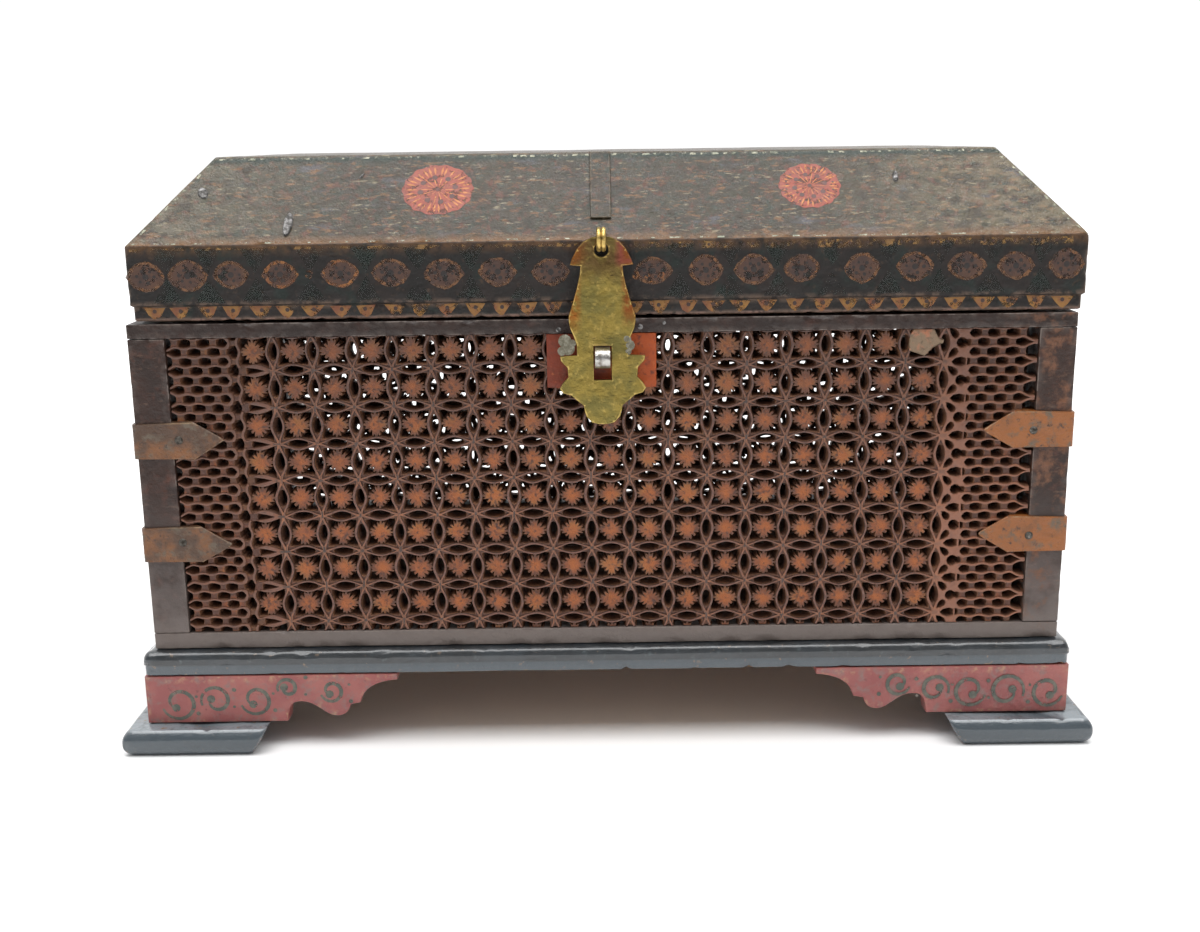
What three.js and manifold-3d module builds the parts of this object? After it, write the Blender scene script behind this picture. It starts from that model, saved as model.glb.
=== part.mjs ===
import * as THREE from "three";
import { mergeVertices } from "three/addons/utils/BufferGeometryUtils.js";
import Module from "manifold-3d";

// A pierced and painted wooden casket on bracket feet, with a hipped lid and a brass hasp.
// Millimetres, +Z up, the front faces -Y, and the origin is on the floor under the middle.

const wasm = await Module();
wasm.setup();

// Fits
const fitGap = 0.3; // between pieces that are glued, nailed or laid together
const pinClearance = 0.3; // round a hinge pin and the ring's shank

// Carcass: corner posts between through rails, with a pierced panel in each side
const bodyWidth = 400;
const bodyDepth = 230;
const postSize = 15.8;
const openingHeight = 131.4;
const topRailHeight = 6;
const bottomRailHeight = 6.8;
const panelThickness = 8;
const panelRecess = 0.6;
const floorThickness = 6;

// Piercing: lozenges in staggered rows, and a whole field behind the lock
const lozengePitch = 33.4;
const lozengeRowPitch = 32.85;
const latticeWeb = 3.5;
const lockFieldWidth = 46;
const lockFieldHeight = 24;

// Plinth: foot blocks, scalloped brackets and a mitred moulding
const footHeight = 11.8;
const footSize = 64;
const footReach = 14.5; // beyond the carcass
const footUndercut = 7;
const footRounding = 2.4;
const bracketHeight = 22;
const bracketThickness = 10;
const bracketReach = 4.7;
const bracketFoot = 62.5;
const frontBracketLength = 112;
const sideBracketLength = 100;
const bracketTip = 3;
const bracketLobeDrop = 2.2;
const bracketArchRise = 9.2;
const mouldingHeight = 10.9;
const mouldingReach = 5;
const mouldingWidth = 30;
const mouldingFillet = 4.4;
const mouldingFilletReach = 4.5;

// Lid: an upright band with a stepped lower edge, four sloping boards and a flat top
const lidGap = 0.9;
const lidShift = 2.4; // the lid sits this far to the right
const bandHeight = 31.4;
const bandThickness = 12;
const stripHeight = 6.5;
const stripSetback = 1.2;
const slopeRise = 35.5;
const slopeRun = 32;
const slopeThickness = 8;
const topThickness = 8;
const lidStrapWidth = 9;
const lidStrapThickness = 0.8;
const lidStrapStart = 11; // up the slope, clear of the hasp's ring

// Corner straps
const strapHeight = 16.5;
const strapLength = 39;
const strapPoint = 13;
const strapThickness = 0.9;
const upperStrapHeight = 94.5; // middle of the strap, above the foot of the carcass
const lowerStrapHeight = 48.2;

// Hinges on the back
const hingeSpacing = 220;
const hingeWidth = 18;
const hingePinRadius = 1.3;
const hingeKnuckleRadius = 3.2;
const hingeKnuckleGap = 0.4;
const hingeMiddleKnuckle = 6.8;
const leafThickness = 1.2;
const bodyLeafLength = 34;
const lidLeafLength = 24;
const leafPoint = 7;

// Hasp, its ring and the lock staple
const haspThickness = 1.4;
const haspEyeRadius = 2.9;
const haspWidth = 36.8;
const haspLength = 78.6;
const haspSlotWidth = 7.4;
const haspSlotHeight = 14.2;
const haspSlotDrop = 46.8; // from the eye to the middle of the slot
const haspCrown = 5.7; // above the eye
const haspStandOff = 6.5; // from the carcass to the middle of the plate
const ringRadius = 4.2;
const ringWireRadius = 0.9;
const ringEyeDrop = 3.3; // the eye hangs this far under the lid's upper arris
const stapleWidth = 6.4;
const stapleHeight = 8.4;
const stapleBand = 1.6;
const stapleReach = 14.4;
const stapleTail = 1; // the legs show this far inside the panel
const stapleSlotClearance = 0.4; // above the staple, in the hasp's slot

const woodDark = new THREE.MeshStandardMaterial({ color: 0x3a2a24, roughness: 0.55 });
const latticeWood = new THREE.MeshStandardMaterial({ color: 0x8a4528, roughness: 0.6 });
const floorWood = new THREE.MeshStandardMaterial({ color: 0x6b4a33, roughness: 0.75 });
const blackLacquer = new THREE.MeshStandardMaterial({ color: 0x23262a, roughness: 0.3 });
const redLacquer = new THREE.MeshStandardMaterial({ color: 0x9a3233, roughness: 0.45 });
const paintedLid = new THREE.MeshStandardMaterial({ color: 0x5a4e44, roughness: 0.45 });
const strapMetal = new THREE.MeshStandardMaterial({ color: 0x7a5c3a, roughness: 0.5, metalness: 0.4 });
const brass = new THREE.MeshStandardMaterial({ color: 0xa08a3a, roughness: 0.4, metalness: 0.9 });
const steel = new THREE.MeshStandardMaterial({ color: 0xb0b0ac, roughness: 0.35, metalness: 1 });

// Heights above the floor
const bracketBottom = footHeight + fitGap;
const mouldingBottom = bracketBottom + bracketHeight + fitGap;
const bodyBottom = mouldingBottom + mouldingHeight + fitGap;
const openingBottom = bodyBottom + bottomRailHeight;
const bodyTop = openingBottom + openingHeight + topRailHeight;
const lidBottom = bodyTop + lidGap;
const bandTop = lidBottom + bandHeight;
const lidTop = bandTop + slopeRise;

const casket = new THREE.Group();
const sides = [
  { name: "front", turn: 0, along: bodyWidth / 2, reach: bodyDepth / 2 },
  { name: "right", turn: Math.PI / 2, along: bodyDepth / 2, reach: bodyWidth / 2 },
  { name: "back", turn: Math.PI, along: bodyWidth / 2, reach: bodyDepth / 2 },
  { name: "left", turn: -Math.PI / 2, along: bodyDepth / 2, reach: bodyWidth / 2 },
];
// Each side is built as if it were the front, and turned into place.
for (const side of sides) {
  side.isLong = side.name === "front" || side.name === "back";
  side.group = new THREE.Group();
  side.group.rotation.z = side.turn;
  casket.add(side.group);
  side.lidGroup = new THREE.Group();
  side.lidGroup.rotation.z = side.turn;
}
const lidShell = new THREE.Group();
lidShell.position.x = lidShift;
casket.add(lidShell);
for (const side of sides) lidShell.add(side.lidGroup);

function addMesh(parent, name, geometry, material) {
  const mesh = new THREE.Mesh(geometry, material);
  mesh.name = name;
  parent.add(mesh);
  return mesh;
}

// A box given by its lowest and highest corner.
function boxBetween(low, high) {
  const size = high.map((value, axis) => value - low[axis]);
  const geometry = new THREE.BoxGeometry(...size);
  return geometry.translate(...low.map((value, axis) => value + size[axis] / 2));
}

function toSolid(geometry) {
  const bare = geometry.clone();
  bare.deleteAttribute("normal");
  bare.deleteAttribute("uv");
  const merged = mergeVertices(bare, 1e-4);
  const triVerts = new Uint32Array(merged.index.array);
  const vertProperties = merged.attributes.position.array;
  return new wasm.Manifold(new wasm.Mesh({ numProp: 3, vertProperties, triVerts }));
}

function toGeometry(solid) {
  const made = solid.getMesh();
  const geometry = new THREE.BufferGeometry();
  geometry.setAttribute("position", new THREE.BufferAttribute(made.vertProperties, 3));
  geometry.setIndex(new THREE.BufferAttribute(made.triVerts, 1));
  return geometry;
}

function join(first, ...others) {
  return toGeometry(others.reduce((whole, other) => whole.add(toSolid(other)), toSolid(first)));
}

function cut(first, ...tools) {
  return toGeometry(tools.reduce((whole, tool) => whole.subtract(toSolid(tool)), toSolid(first)));
}

// A flat outline drawn in X and Z, extruded towards the front from y = 0.
function uprightPlate(shape, thickness, curveSegments = 5) {
  const options = { depth: thickness, bevelEnabled: false, curveSegments };
  return new THREE.ExtrudeGeometry(shape, options).rotateX(Math.PI / 2);
}

// A bar of one side whose ends are mitred at 45 degrees. The section's x is the distance out from
// the carcass face, and its y is the height.
function mitredBar(section, side, curveSegments = 5) {
  const geometry = new THREE.ExtrudeGeometry(section, { depth: 2, bevelEnabled: false, curveSegments });
  const place = geometry.getAttribute("position");
  for (let i = 0; i < place.count; i++) {
    const out = place.getX(i);
    const end = 1 - place.getZ(i);
    place.setXYZ(i, end * (side.along + out - fitGap), -(side.reach + out), place.getY(i));
  }
  return geometry;
}

// Where the line from point along direction reaches the given x or y.
function pointAtX(point, direction, x) {
  return new THREE.Vector2(x, point.y + ((x - point.x) / direction.x) * direction.y);
}
function pointAtY(point, direction, y) {
  return new THREE.Vector2(point.x + ((y - point.y) / direction.y) * direction.x, y);
}

// Plinth
function footGeometry(signX, signY) {
  const outerX = bodyWidth / 2 + footReach;
  const outerY = bodyDepth / 2 + footReach;
  // Each level: height, how far the outer edges draw in, how far the inner ends draw in.
  const levels = [
    [0, footRounding, footUndercut],
    [footRounding, 0, footUndercut * 0.7],
    [footHeight - footRounding, 0, footUndercut * 0.15],
    [footHeight, footRounding, 0],
  ];
  const corners = [];
  for (const [height, outerInset, innerInset] of levels) {
    const xs = [outerX - outerInset, outerX - footSize + innerInset].map((value) => value * signX);
    const ys = [outerY - outerInset, outerY - footSize + innerInset].map((value) => value * signY);
    const [lowX, highX, lowY, highY] = [Math.min(...xs), Math.max(...xs), Math.min(...ys), Math.max(...ys)];
    corners.push(lowX, lowY, height, highX, lowY, height, highX, highY, height, lowX, highY, height);
  }
  const faces = [0, 2, 1, 0, 3, 2];
  for (let level = 0; level + 1 < levels.length; level++) {
    for (let corner = 0; corner < 4; corner++) {
      const [a, b] = [level * 4 + corner, level * 4 + ((corner + 1) % 4)];
      faces.push(a, b, b + 4, a, b + 4, a + 4);
    }
  }
  const top = (levels.length - 1) * 4;
  faces.push(top, top + 1, top + 2, top, top + 2, top + 3);
  const geometry = new THREE.BufferGeometry();
  geometry.setAttribute("position", new THREE.Float32BufferAttribute(corners, 3));
  return geometry.setIndex(faces);
}

// The scalloped bracket from its outer end, at x = 0, to its tip.
function bracketShape(start, length) {
  const tipHeight = bracketHeight - bracketTip;
  const stepHeight = 0.44 * tipHeight;
  const at = (share) => bracketFoot + share * (length - bracketFoot);
  const shape = new THREE.Shape();
  shape.moveTo(start, 0);
  shape.lineTo(at(0), 0);
  shape.bezierCurveTo(at(0.02), bracketArchRise, at(0.06), bracketArchRise, at(0.14), bracketArchRise);
  shape.bezierCurveTo(at(0.26), bracketArchRise, at(0.34), bracketLobeDrop, at(0.44), bracketLobeDrop);
  shape.quadraticCurveTo(at(0.55), bracketLobeDrop, at(0.57), stepHeight * 0.9);
  shape.lineTo(at(0.66), stepHeight);
  shape.quadraticCurveTo(at(0.7), tipHeight * 0.95, at(1), tipHeight);
  shape.lineTo(length, bracketHeight);
  shape.lineTo(start, bracketHeight);
  return shape;
}

function addBrackets(side) {
  const start = side.isLong ? 0 : bracketThickness + fitGap; // the side brackets stop behind the front ones
  const length = side.isLong ? frontBracketLength : sideBracketLength;
  const outerEnd = side.along + bracketReach;
  for (const [hand, sign] of [["left", 1], ["right", -1]]) {
    const geometry = uprightPlate(bracketShape(start, length), bracketThickness);
    const mesh = addMesh(side.group, `bracket_${side.name}_${hand}`, geometry, redLacquer);
    mesh.scale.x = sign;
    mesh.position.set(-sign * outerEnd, -(side.reach + bracketReach - bracketThickness), bracketBottom);
  }
}

function mouldingSection() {
  const section = new THREE.Shape();
  const inner = mouldingReach - mouldingWidth;
  const noseStart = mouldingFillet + 0.8;
  section.moveTo(inner, mouldingBottom);
  section.lineTo(mouldingFilletReach, mouldingBottom);
  section.lineTo(mouldingFilletReach, mouldingBottom + mouldingFillet);
  section.lineTo(mouldingReach, mouldingBottom + noseStart);
  const top = mouldingBottom + mouldingHeight;
  section.quadraticCurveTo(mouldingReach, top, 0, top);
  section.lineTo(inner, top);
  return section;
}

// Pierced panels, drawn with the back face on y = 0
function lozengeCutter(x, z, halfWidth, halfHeight) {
  const shape = new THREE.Shape([
    new THREE.Vector2(x, z - halfHeight),
    new THREE.Vector2(x + halfWidth, z),
    new THREE.Vector2(x, z + halfHeight),
    new THREE.Vector2(x - halfWidth, z),
  ]);
  return uprightPlate(shape, 3 * panelThickness).translate(0, panelThickness, 0);
}

function legCutter(z) {
  const [x, half] = [stapleWidth / 2 + fitGap, stapleBand / 2 + fitGap];
  return boxBetween([-x, -2 * panelThickness, z - half], [x, panelThickness, z + half]);
}

function panelGeometry(side) {
  const width = 2 * (side.along - postSize - fitGap);
  const height = openingHeight - 2 * fitGap;
  const columns = Math.max(1, Math.round(width / lozengePitch));
  const rows = Math.max(1, Math.round(height / lozengeRowPitch));
  const [halfColumn, halfRow] = [width / columns / 2, height / rows / 2];
  const share = 1 - (latticeWeb * Math.hypot(1 / halfColumn, 1 / halfRow)) / 2;
  const cutters = [];
  // Whole lozenges in a grid, and more between them where four meet.
  for (let column = 1; column < 2 * columns; column++) {
    for (let row = 1; row < 2 * rows; row++) {
      const [x, z] = [column * halfColumn - width / 2, row * halfRow];
      if ((column + row) % 2 === 0) cutters.push(lozengeCutter(x, z, halfColumn * share, halfRow * share));
    }
  }
  const pierced = cut(boxBetween([-width / 2, -panelThickness, 0], [width / 2, 0, height]), ...cutters);
  if (side.name !== "front") return pierced;
  // The field behind the lock is whole, and the staple's two legs go through it.
  const [fieldX, fieldBottom] = [lockFieldWidth / 2, height - lockFieldHeight];
  const field = boxBetween([-fieldX, -panelThickness, fieldBottom], [fieldX, 0, height]);
  const legs = [-1, 1].map((end) => {
    const middle = stapleMiddle + (end * (stapleHeight - stapleBand)) / 2;
    return legCutter(middle - openingBottom - fitGap);
  });
  return cut(join(pierced, field), ...legs);
}

// Carcass
function addCarcassSide(side) {
  const railHalf = side.isLong ? side.along : side.along - postSize - fitGap;
  const [outer, inner] = [-side.reach, -side.reach + postSize];
  const railAt = (low, high) => boxBetween([-railHalf, outer, low], [railHalf, inner, high]);
  addMesh(side.group, `bottom_rail_${side.name}`, railAt(bodyBottom, openingBottom), woodDark);
  addMesh(side.group, `top_rail_${side.name}`, railAt(bodyTop - topRailHeight, bodyTop), woodDark);
  const panel = addMesh(side.group, `lattice_panel_${side.name}`, panelGeometry(side), latticeWood);
  panel.position.set(0, outer + panelRecess + panelThickness, openingBottom + fitGap);
}

function addPost(name, signX, signY) {
  const outer = [(signX * bodyWidth) / 2, (signY * bodyDepth) / 2];
  const inner = [outer[0] - signX * postSize, outer[1] - signY * postSize];
  const [bottom, top] = [openingBottom + fitGap, bodyTop - topRailHeight - fitGap];
  const low = [Math.min(outer[0], inner[0]), Math.min(outer[1], inner[1]), bottom];
  const high = [Math.max(outer[0], inner[0]), Math.max(outer[1], inner[1]), top];
  addMesh(casket, `corner_post_${name}`, boxBetween(low, high), woodDark);
}

// Straps: a flat leg with a pointed end, from x = 0.
function strapLegShape(width, length, point) {
  const shape = new THREE.Shape();
  shape.moveTo(0, -width / 2);
  shape.lineTo(length - point, -width / 2);
  shape.lineTo(length, 0);
  shape.lineTo(length - point, width / 2);
  shape.lineTo(0, width / 2);
  return shape;
}

// The strap of the front left corner, with its outer corner at the origin.
function cornerStrapGeometry() {
  const leg = strapLegShape(strapHeight, strapLength, strapPoint);
  const frontLeg = uprightPlate(leg, strapThickness).translate(0, strapThickness, 0);
  const sideLeg = uprightPlate(leg, strapThickness).rotateZ(Math.PI / 2);
  return join(frontLeg, sideLeg);
}

function addCornerStraps(name, signX, signY) {
  for (const [level, height] of [["upper", upperStrapHeight], ["lower", lowerStrapHeight]]) {
    const mesh = addMesh(casket, `corner_strap_${name}_${level}`, cornerStrapGeometry(), strapMetal);
    const away = fitGap + strapThickness;
    mesh.scale.set(-signX, -signY, 1);
    mesh.position.set(signX * (bodyWidth / 2 + away), signY * (bodyDepth / 2 + away), bodyBottom + height);
  }
}

// Lid
const slopeAlong = new THREE.Vector2(-slopeRun, slopeRise).normalize();
const slopeInward = new THREE.Vector2(-slopeAlong.y, slopeAlong.x);
const bandArris = new THREE.Vector2(0, bandTop);
const topArris = new THREE.Vector2(-slopeRun, lidTop);
const slopeInnerStart = bandArris.clone().addScaledVector(slopeInward, slopeThickness);
const bandInnerTop = pointAtX(slopeInnerStart, slopeAlong, -bandThickness);
const topInnerCorner = pointAtY(slopeInnerStart, slopeAlong, lidTop - topThickness);

function bandSection() {
  return new THREE.Shape([
    new THREE.Vector2(-bandThickness, lidBottom),
    new THREE.Vector2(-stripSetback, lidBottom),
    new THREE.Vector2(-stripSetback, lidBottom + stripHeight),
    new THREE.Vector2(0, lidBottom + stripHeight),
    bandArris,
    bandInnerTop,
  ]);
}

function slopeSection() {
  const step = slopeAlong.clone().multiplyScalar(fitGap);
  return new THREE.Shape([
    bandInnerTop.clone().add(step),
    bandArris.clone().add(step),
    topArris.clone().sub(step),
    topInnerCorner.clone().sub(step),
  ]);
}

// The flat top: a plate whose edges slope in to meet the sloping boards.
function lidTopGeometry() {
  const corners = [];
  for (const arris of [topInnerCorner, topArris]) {
    const [x, y] = [bodyWidth / 2 + arris.x - fitGap, bodyDepth / 2 + arris.x - fitGap];
    corners.push(-x, -y, arris.y, x, -y, arris.y, x, y, arris.y, -x, y, arris.y);
  }
  const faces = [0, 2, 1, 0, 3, 2, 4, 5, 6, 4, 6, 7];
  for (let corner = 0; corner < 4; corner++) {
    const next = (corner + 1) % 4;
    faces.push(corner, next, next + 4, corner, next + 4, corner + 4);
  }
  const geometry = new THREE.BufferGeometry();
  geometry.setAttribute("position", new THREE.Float32BufferAttribute(corners, 3));
  return geometry.setIndex(faces);
}

// Hasp and ring: the ring stands in the middle plane, and the eye hangs at its lowest point.
const eyeHeight = bandTop - ringEyeDrop;
const ringHeight = eyeHeight + ringRadius;
const haspPlane = -(bodyDepth / 2 + haspStandOff);
const slotMiddle = eyeHeight - haspSlotDrop;
const stapleMiddle = slotMiddle + (haspSlotHeight - stapleHeight) / 2 - stapleSlotClearance;

// The right half of the plate from its crown down to its lower end, as shares of its half width
// and of its length, with the eye at the origin.
function haspShape() {
  const crown = [[0, 0], [0.2, 0.006], [0.4, 0.028], [0.55, 0.068], [0.66, 0.118]];
  const headFoot = [[0.71, 0.15], [0.47, 0.156]];
  const waist = [[0.51, 0.236], [0.66, 0.373], [0.755, 0.438], [0.72, 0.496], [0.61, 0.54], [0.61, 0.629]];
  const wings = [[0.98, 0.634], [0.87, 0.684], [0.825, 0.73], [1, 0.803], [0.76, 0.855], [0.49, 0.899]];
  const tail = [[0.435, 0.956], [0.27, 0.99], [0, 1]];
  const half = [...crown, ...headFoot, ...waist, ...wings, ...tail];
  const otherHalf = half.slice(1, -1).map(([x, drop]) => [-x, drop]).reverse();
  const toPoint = ([x, drop]) => new THREE.Vector2((x * haspWidth) / 2, haspCrown - drop * haspLength);
  const shape = new THREE.Shape([...half, ...otherHalf].map(toPoint));
  const [x, z] = [haspSlotWidth / 2, haspSlotHeight / 2];
  const eye = new THREE.Path().absarc(0, 0, haspEyeRadius, 0, 2 * Math.PI);
  const corners = [[-x, -z], [x, -z], [x, z], [-x, z]];
  const slot = corners.map(([across, up]) => new THREE.Vector2(across, up - haspSlotDrop));
  shape.holes.push(eye, new THREE.Path(slot));
  return shape;
}

function haspRingGeometry() {
  const ring = new THREE.TorusGeometry(ringRadius, ringWireRadius, 8, 20).rotateY(Math.PI / 2);
  const lift = ringRadius * Math.SQRT1_2;
  const boardFace = haspStandOff + (ringHeight + lift - bandTop) * (slopeRun / slopeRise);
  const shankEnd = boardFace + slopeThickness;
  const shank = new THREE.CylinderGeometry(ringWireRadius, ringWireRadius, shankEnd - lift, 8);
  return join(ring, shank.translate(0, (shankEnd + lift) / 2, lift));
}

// Drills the ring's shank hole through a piece that is drawn in the lid's own frame.
function drillShankHole(geometry) {
  const radius = ringWireRadius + pinClearance;
  const drill = new THREE.CylinderGeometry(radius, radius, bodyDepth / 2, 12);
  return cut(geometry, drill.translate(-lidShift, haspPlane, ringHeight + ringRadius * Math.SQRT1_2));
}

function lidStrapGeometry() {
  const ends = [bandArris.clone().addScaledVector(slopeAlong, lidStrapStart), topArris];
  const [low, high] = ends.map((end) => end.clone().addScaledVector(slopeInward, -fitGap));
  const lift = slopeInward.clone().multiplyScalar(-lidStrapThickness);
  const section = new THREE.Shape([low, low.clone().add(lift), high.clone().add(lift), high]);
  const geometry = new THREE.ExtrudeGeometry(section, { depth: lidStrapWidth, bevelEnabled: false });
  const place = geometry.getAttribute("position");
  for (let i = 0; i < place.count; i++) {
    const [out, height, across] = [place.getX(i), place.getY(i), place.getZ(i)];
    place.setXYZ(i, lidStrapWidth / 2 - across - lidShift, -(bodyDepth / 2 + out), height);
  }
  return geometry;
}

// A U-shaped staple with its eye across the front, standing on the plane y = 0.
function lockStapleGeometry() {
  const half = stapleHeight / 2;
  const innerHalf = half - stapleBand;
  const tail = panelRecess + panelThickness + stapleTail;
  const shoulder = stapleReach - half;
  const section = new THREE.Shape();
  section.moveTo(-tail, -half);
  section.lineTo(shoulder, -half);
  section.absarc(shoulder, 0, half, -Math.PI / 2, Math.PI / 2);
  section.lineTo(-tail, half);
  section.lineTo(-tail, innerHalf);
  section.lineTo(shoulder, innerHalf);
  section.absarc(shoulder, 0, innerHalf, Math.PI / 2, -Math.PI / 2, true);
  section.lineTo(-tail, -innerHalf);
  const depth = stapleWidth;
  const geometry = new THREE.ExtrudeGeometry(section, { depth, bevelEnabled: false, curveSegments: 8 });
  return geometry.translate(0, 0, -depth / 2).rotateX(Math.PI / 2).rotateZ(-Math.PI / 2);
}

// Hinges, drawn as on the front: the leaf lies on y = 0, and the pin is in front of it.
const hingeHeight = (bodyTop + lidBottom) / 2;
const hingeAxisOut = fitGap + hingeKnuckleRadius;

function knuckleGeometry(from, to) {
  const ring = new THREE.Shape().absarc(0, 0, hingeKnuckleRadius, 0, 2 * Math.PI);
  ring.holes.push(new THREE.Path().absarc(0, 0, hingePinRadius + pinClearance, 0, 2 * Math.PI));
  const options = { depth: to - from, bevelEnabled: false, curveSegments: 8 };
  const geometry = new THREE.ExtrudeGeometry(ring, options);
  return geometry.rotateY(Math.PI / 2).translate(from, -hingeAxisOut, 0);
}

// A leaf runs down from its knuckles; the lid's leaf is turned over afterwards.
function leafGeometry(length, knuckles) {
  const clear = hingeKnuckleRadius + hingeKnuckleGap;
  const back = -fitGap;
  const leaf = uprightPlate(strapLegShape(hingeWidth, length, leafPoint), leafThickness);
  leaf.rotateY(Math.PI / 2).translate(0, back, -clear);
  const boreRadius = hingePinRadius + pinClearance;
  const bore = new THREE.CylinderGeometry(boreRadius, boreRadius, hingeWidth * 2, 16);
  bore.rotateZ(Math.PI / 2).translate(0, -hingeAxisOut, 0);
  const pieces = knuckles.flatMap(([from, to]) => [
    knuckleGeometry(from, to),
    boxBetween([from, back - leafThickness, -clear - 1], [to, back, 0]),
  ]);
  return cut(join(leaf, ...pieces), bore);
}

function addHinge(name, x) {
  const half = hingeWidth / 2;
  const middle = hingeMiddleKnuckle / 2;
  const outerStart = middle + hingeKnuckleGap;
  const group = new THREE.Group();
  group.rotation.z = Math.PI;
  group.position.set(x, bodyDepth / 2, hingeHeight);
  casket.add(group);
  addMesh(group, `hinge_${name}_body_leaf`, leafGeometry(bodyLeafLength, [[-middle, middle]]), brass);
  const outerKnuckles = [[-half, -outerStart], [outerStart, half]];
  const lidLeaf = leafGeometry(lidLeafLength, outerKnuckles);
  addMesh(group, `hinge_${name}_lid_leaf`, lidLeaf, brass).scale.z = -1;
  const pin = new THREE.CylinderGeometry(hingePinRadius, hingePinRadius, hingeWidth, 12).rotateZ(Math.PI / 2);
  addMesh(group, `hinge_${name}_pin`, pin, steel).position.y = -hingeAxisOut;
}

// Assembly
for (const [name, signX, signY] of [
  ["front_left", -1, -1],
  ["front_right", 1, -1],
  ["back_left", -1, 1],
  ["back_right", 1, 1],
]) {
  addMesh(casket, `foot_${name}`, footGeometry(signX, signY), blackLacquer);
  addPost(name, signX, signY);
  addCornerStraps(name, signX, signY);
}
for (const side of sides) {
  addBrackets(side);
  addMesh(side.group, `moulding_${side.name}`, mitredBar(mouldingSection(), side), blackLacquer);
  addCarcassSide(side);
  addMesh(side.lidGroup, `lid_band_${side.name}`, mitredBar(bandSection(), side), paintedLid);
  const slope = mitredBar(slopeSection(), side);
  const drilled = side.name === "front" ? drillShankHole(slope) : slope;
  addMesh(side.lidGroup, `lid_slope_${side.name}`, drilled, paintedLid);
}
const floorHalf = [bodyWidth / 2 - postSize - fitGap, bodyDepth / 2 - postSize - fitGap];
const floorLow = [-floorHalf[0], -floorHalf[1], bodyBottom];
const floorHigh = [floorHalf[0], floorHalf[1], bodyBottom + floorThickness];
addMesh(casket, "floor_board", boxBetween(floorLow, floorHigh), floorWood);

addMesh(lidShell, "lid_top_board", lidTopGeometry(), paintedLid);
addMesh(lidShell, "lid_centre_strap", lidStrapGeometry(), strapMetal);
addHinge("left", -hingeSpacing / 2);
addHinge("right", hingeSpacing / 2);

const hasp = addMesh(casket, "hasp", uprightPlate(haspShape(), haspThickness, 6), brass);
hasp.position.set(0, haspPlane + haspThickness / 2, eyeHeight);
addMesh(casket, "hasp_ring", haspRingGeometry(), brass).position.set(0, haspPlane, ringHeight);
addMesh(casket, "lock_staple", lockStapleGeometry(), steel).position.set(0, -bodyDepth / 2, stapleMiddle);

export default casket;
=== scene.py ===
# Looks for the pierced casket: fretwork, painted lid, worn lacquer, brass and iron.
# Shapes are drawn in millimetres, in the CAD model's frame, and turned to metres when a piece is made.
import math
import random

import bpy
from mathutils import Matrix, Vector, noise
from mathutils.geometry import delaunay_2d_cdt


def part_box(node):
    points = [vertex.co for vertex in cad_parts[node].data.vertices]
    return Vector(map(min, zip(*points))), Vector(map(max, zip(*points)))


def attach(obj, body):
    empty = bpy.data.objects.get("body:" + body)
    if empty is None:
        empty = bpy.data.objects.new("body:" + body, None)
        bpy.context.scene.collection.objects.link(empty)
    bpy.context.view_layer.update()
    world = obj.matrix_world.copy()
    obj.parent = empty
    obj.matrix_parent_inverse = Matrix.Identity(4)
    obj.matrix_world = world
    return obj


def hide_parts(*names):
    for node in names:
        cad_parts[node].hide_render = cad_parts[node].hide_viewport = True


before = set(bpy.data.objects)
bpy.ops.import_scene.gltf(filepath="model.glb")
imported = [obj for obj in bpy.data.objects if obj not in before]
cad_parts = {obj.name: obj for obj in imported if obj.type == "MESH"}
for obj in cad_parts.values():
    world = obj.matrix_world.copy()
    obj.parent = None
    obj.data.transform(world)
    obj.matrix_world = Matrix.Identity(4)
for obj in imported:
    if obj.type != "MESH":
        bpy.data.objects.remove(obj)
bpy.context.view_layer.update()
mm = 0.001
dice = random.Random(11)


# Reading the frame
def nodeBox(node):
    low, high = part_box(node)
    return low / mm, high / mm


def nodesFrom(*starts):
    return [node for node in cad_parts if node.startswith(starts)]


def span(node, axis):
    low, high = nodeBox(node)
    return low[axis], high[axis]


bodyHalfX = span("corner_post_front_right", 0)[1]
bodyHalfY = span("corner_post_back_right", 1)[1]
postSize = bodyHalfX - span("corner_post_front_right", 0)[0]
openingBottom = span("bottom_rail_front", 2)[1]
openingTop = span("top_rail_front", 2)[0]
sides = {
    "front": {"turn": 0, "along": bodyHalfX, "reach": bodyHalfY},
    "right": {"turn": 90, "along": bodyHalfY, "reach": bodyHalfX},
    "back": {"turn": 180, "along": bodyHalfX, "reach": bodyHalfY},
    "left": {"turn": -90, "along": bodyHalfY, "reach": bodyHalfX},
}
for name, side in sides.items():
    side["name"] = name
    side["long"] = name in ("front", "back")
    side["spin"] = Matrix.Rotation(math.radians(side["turn"]), 3, "Z")


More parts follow.
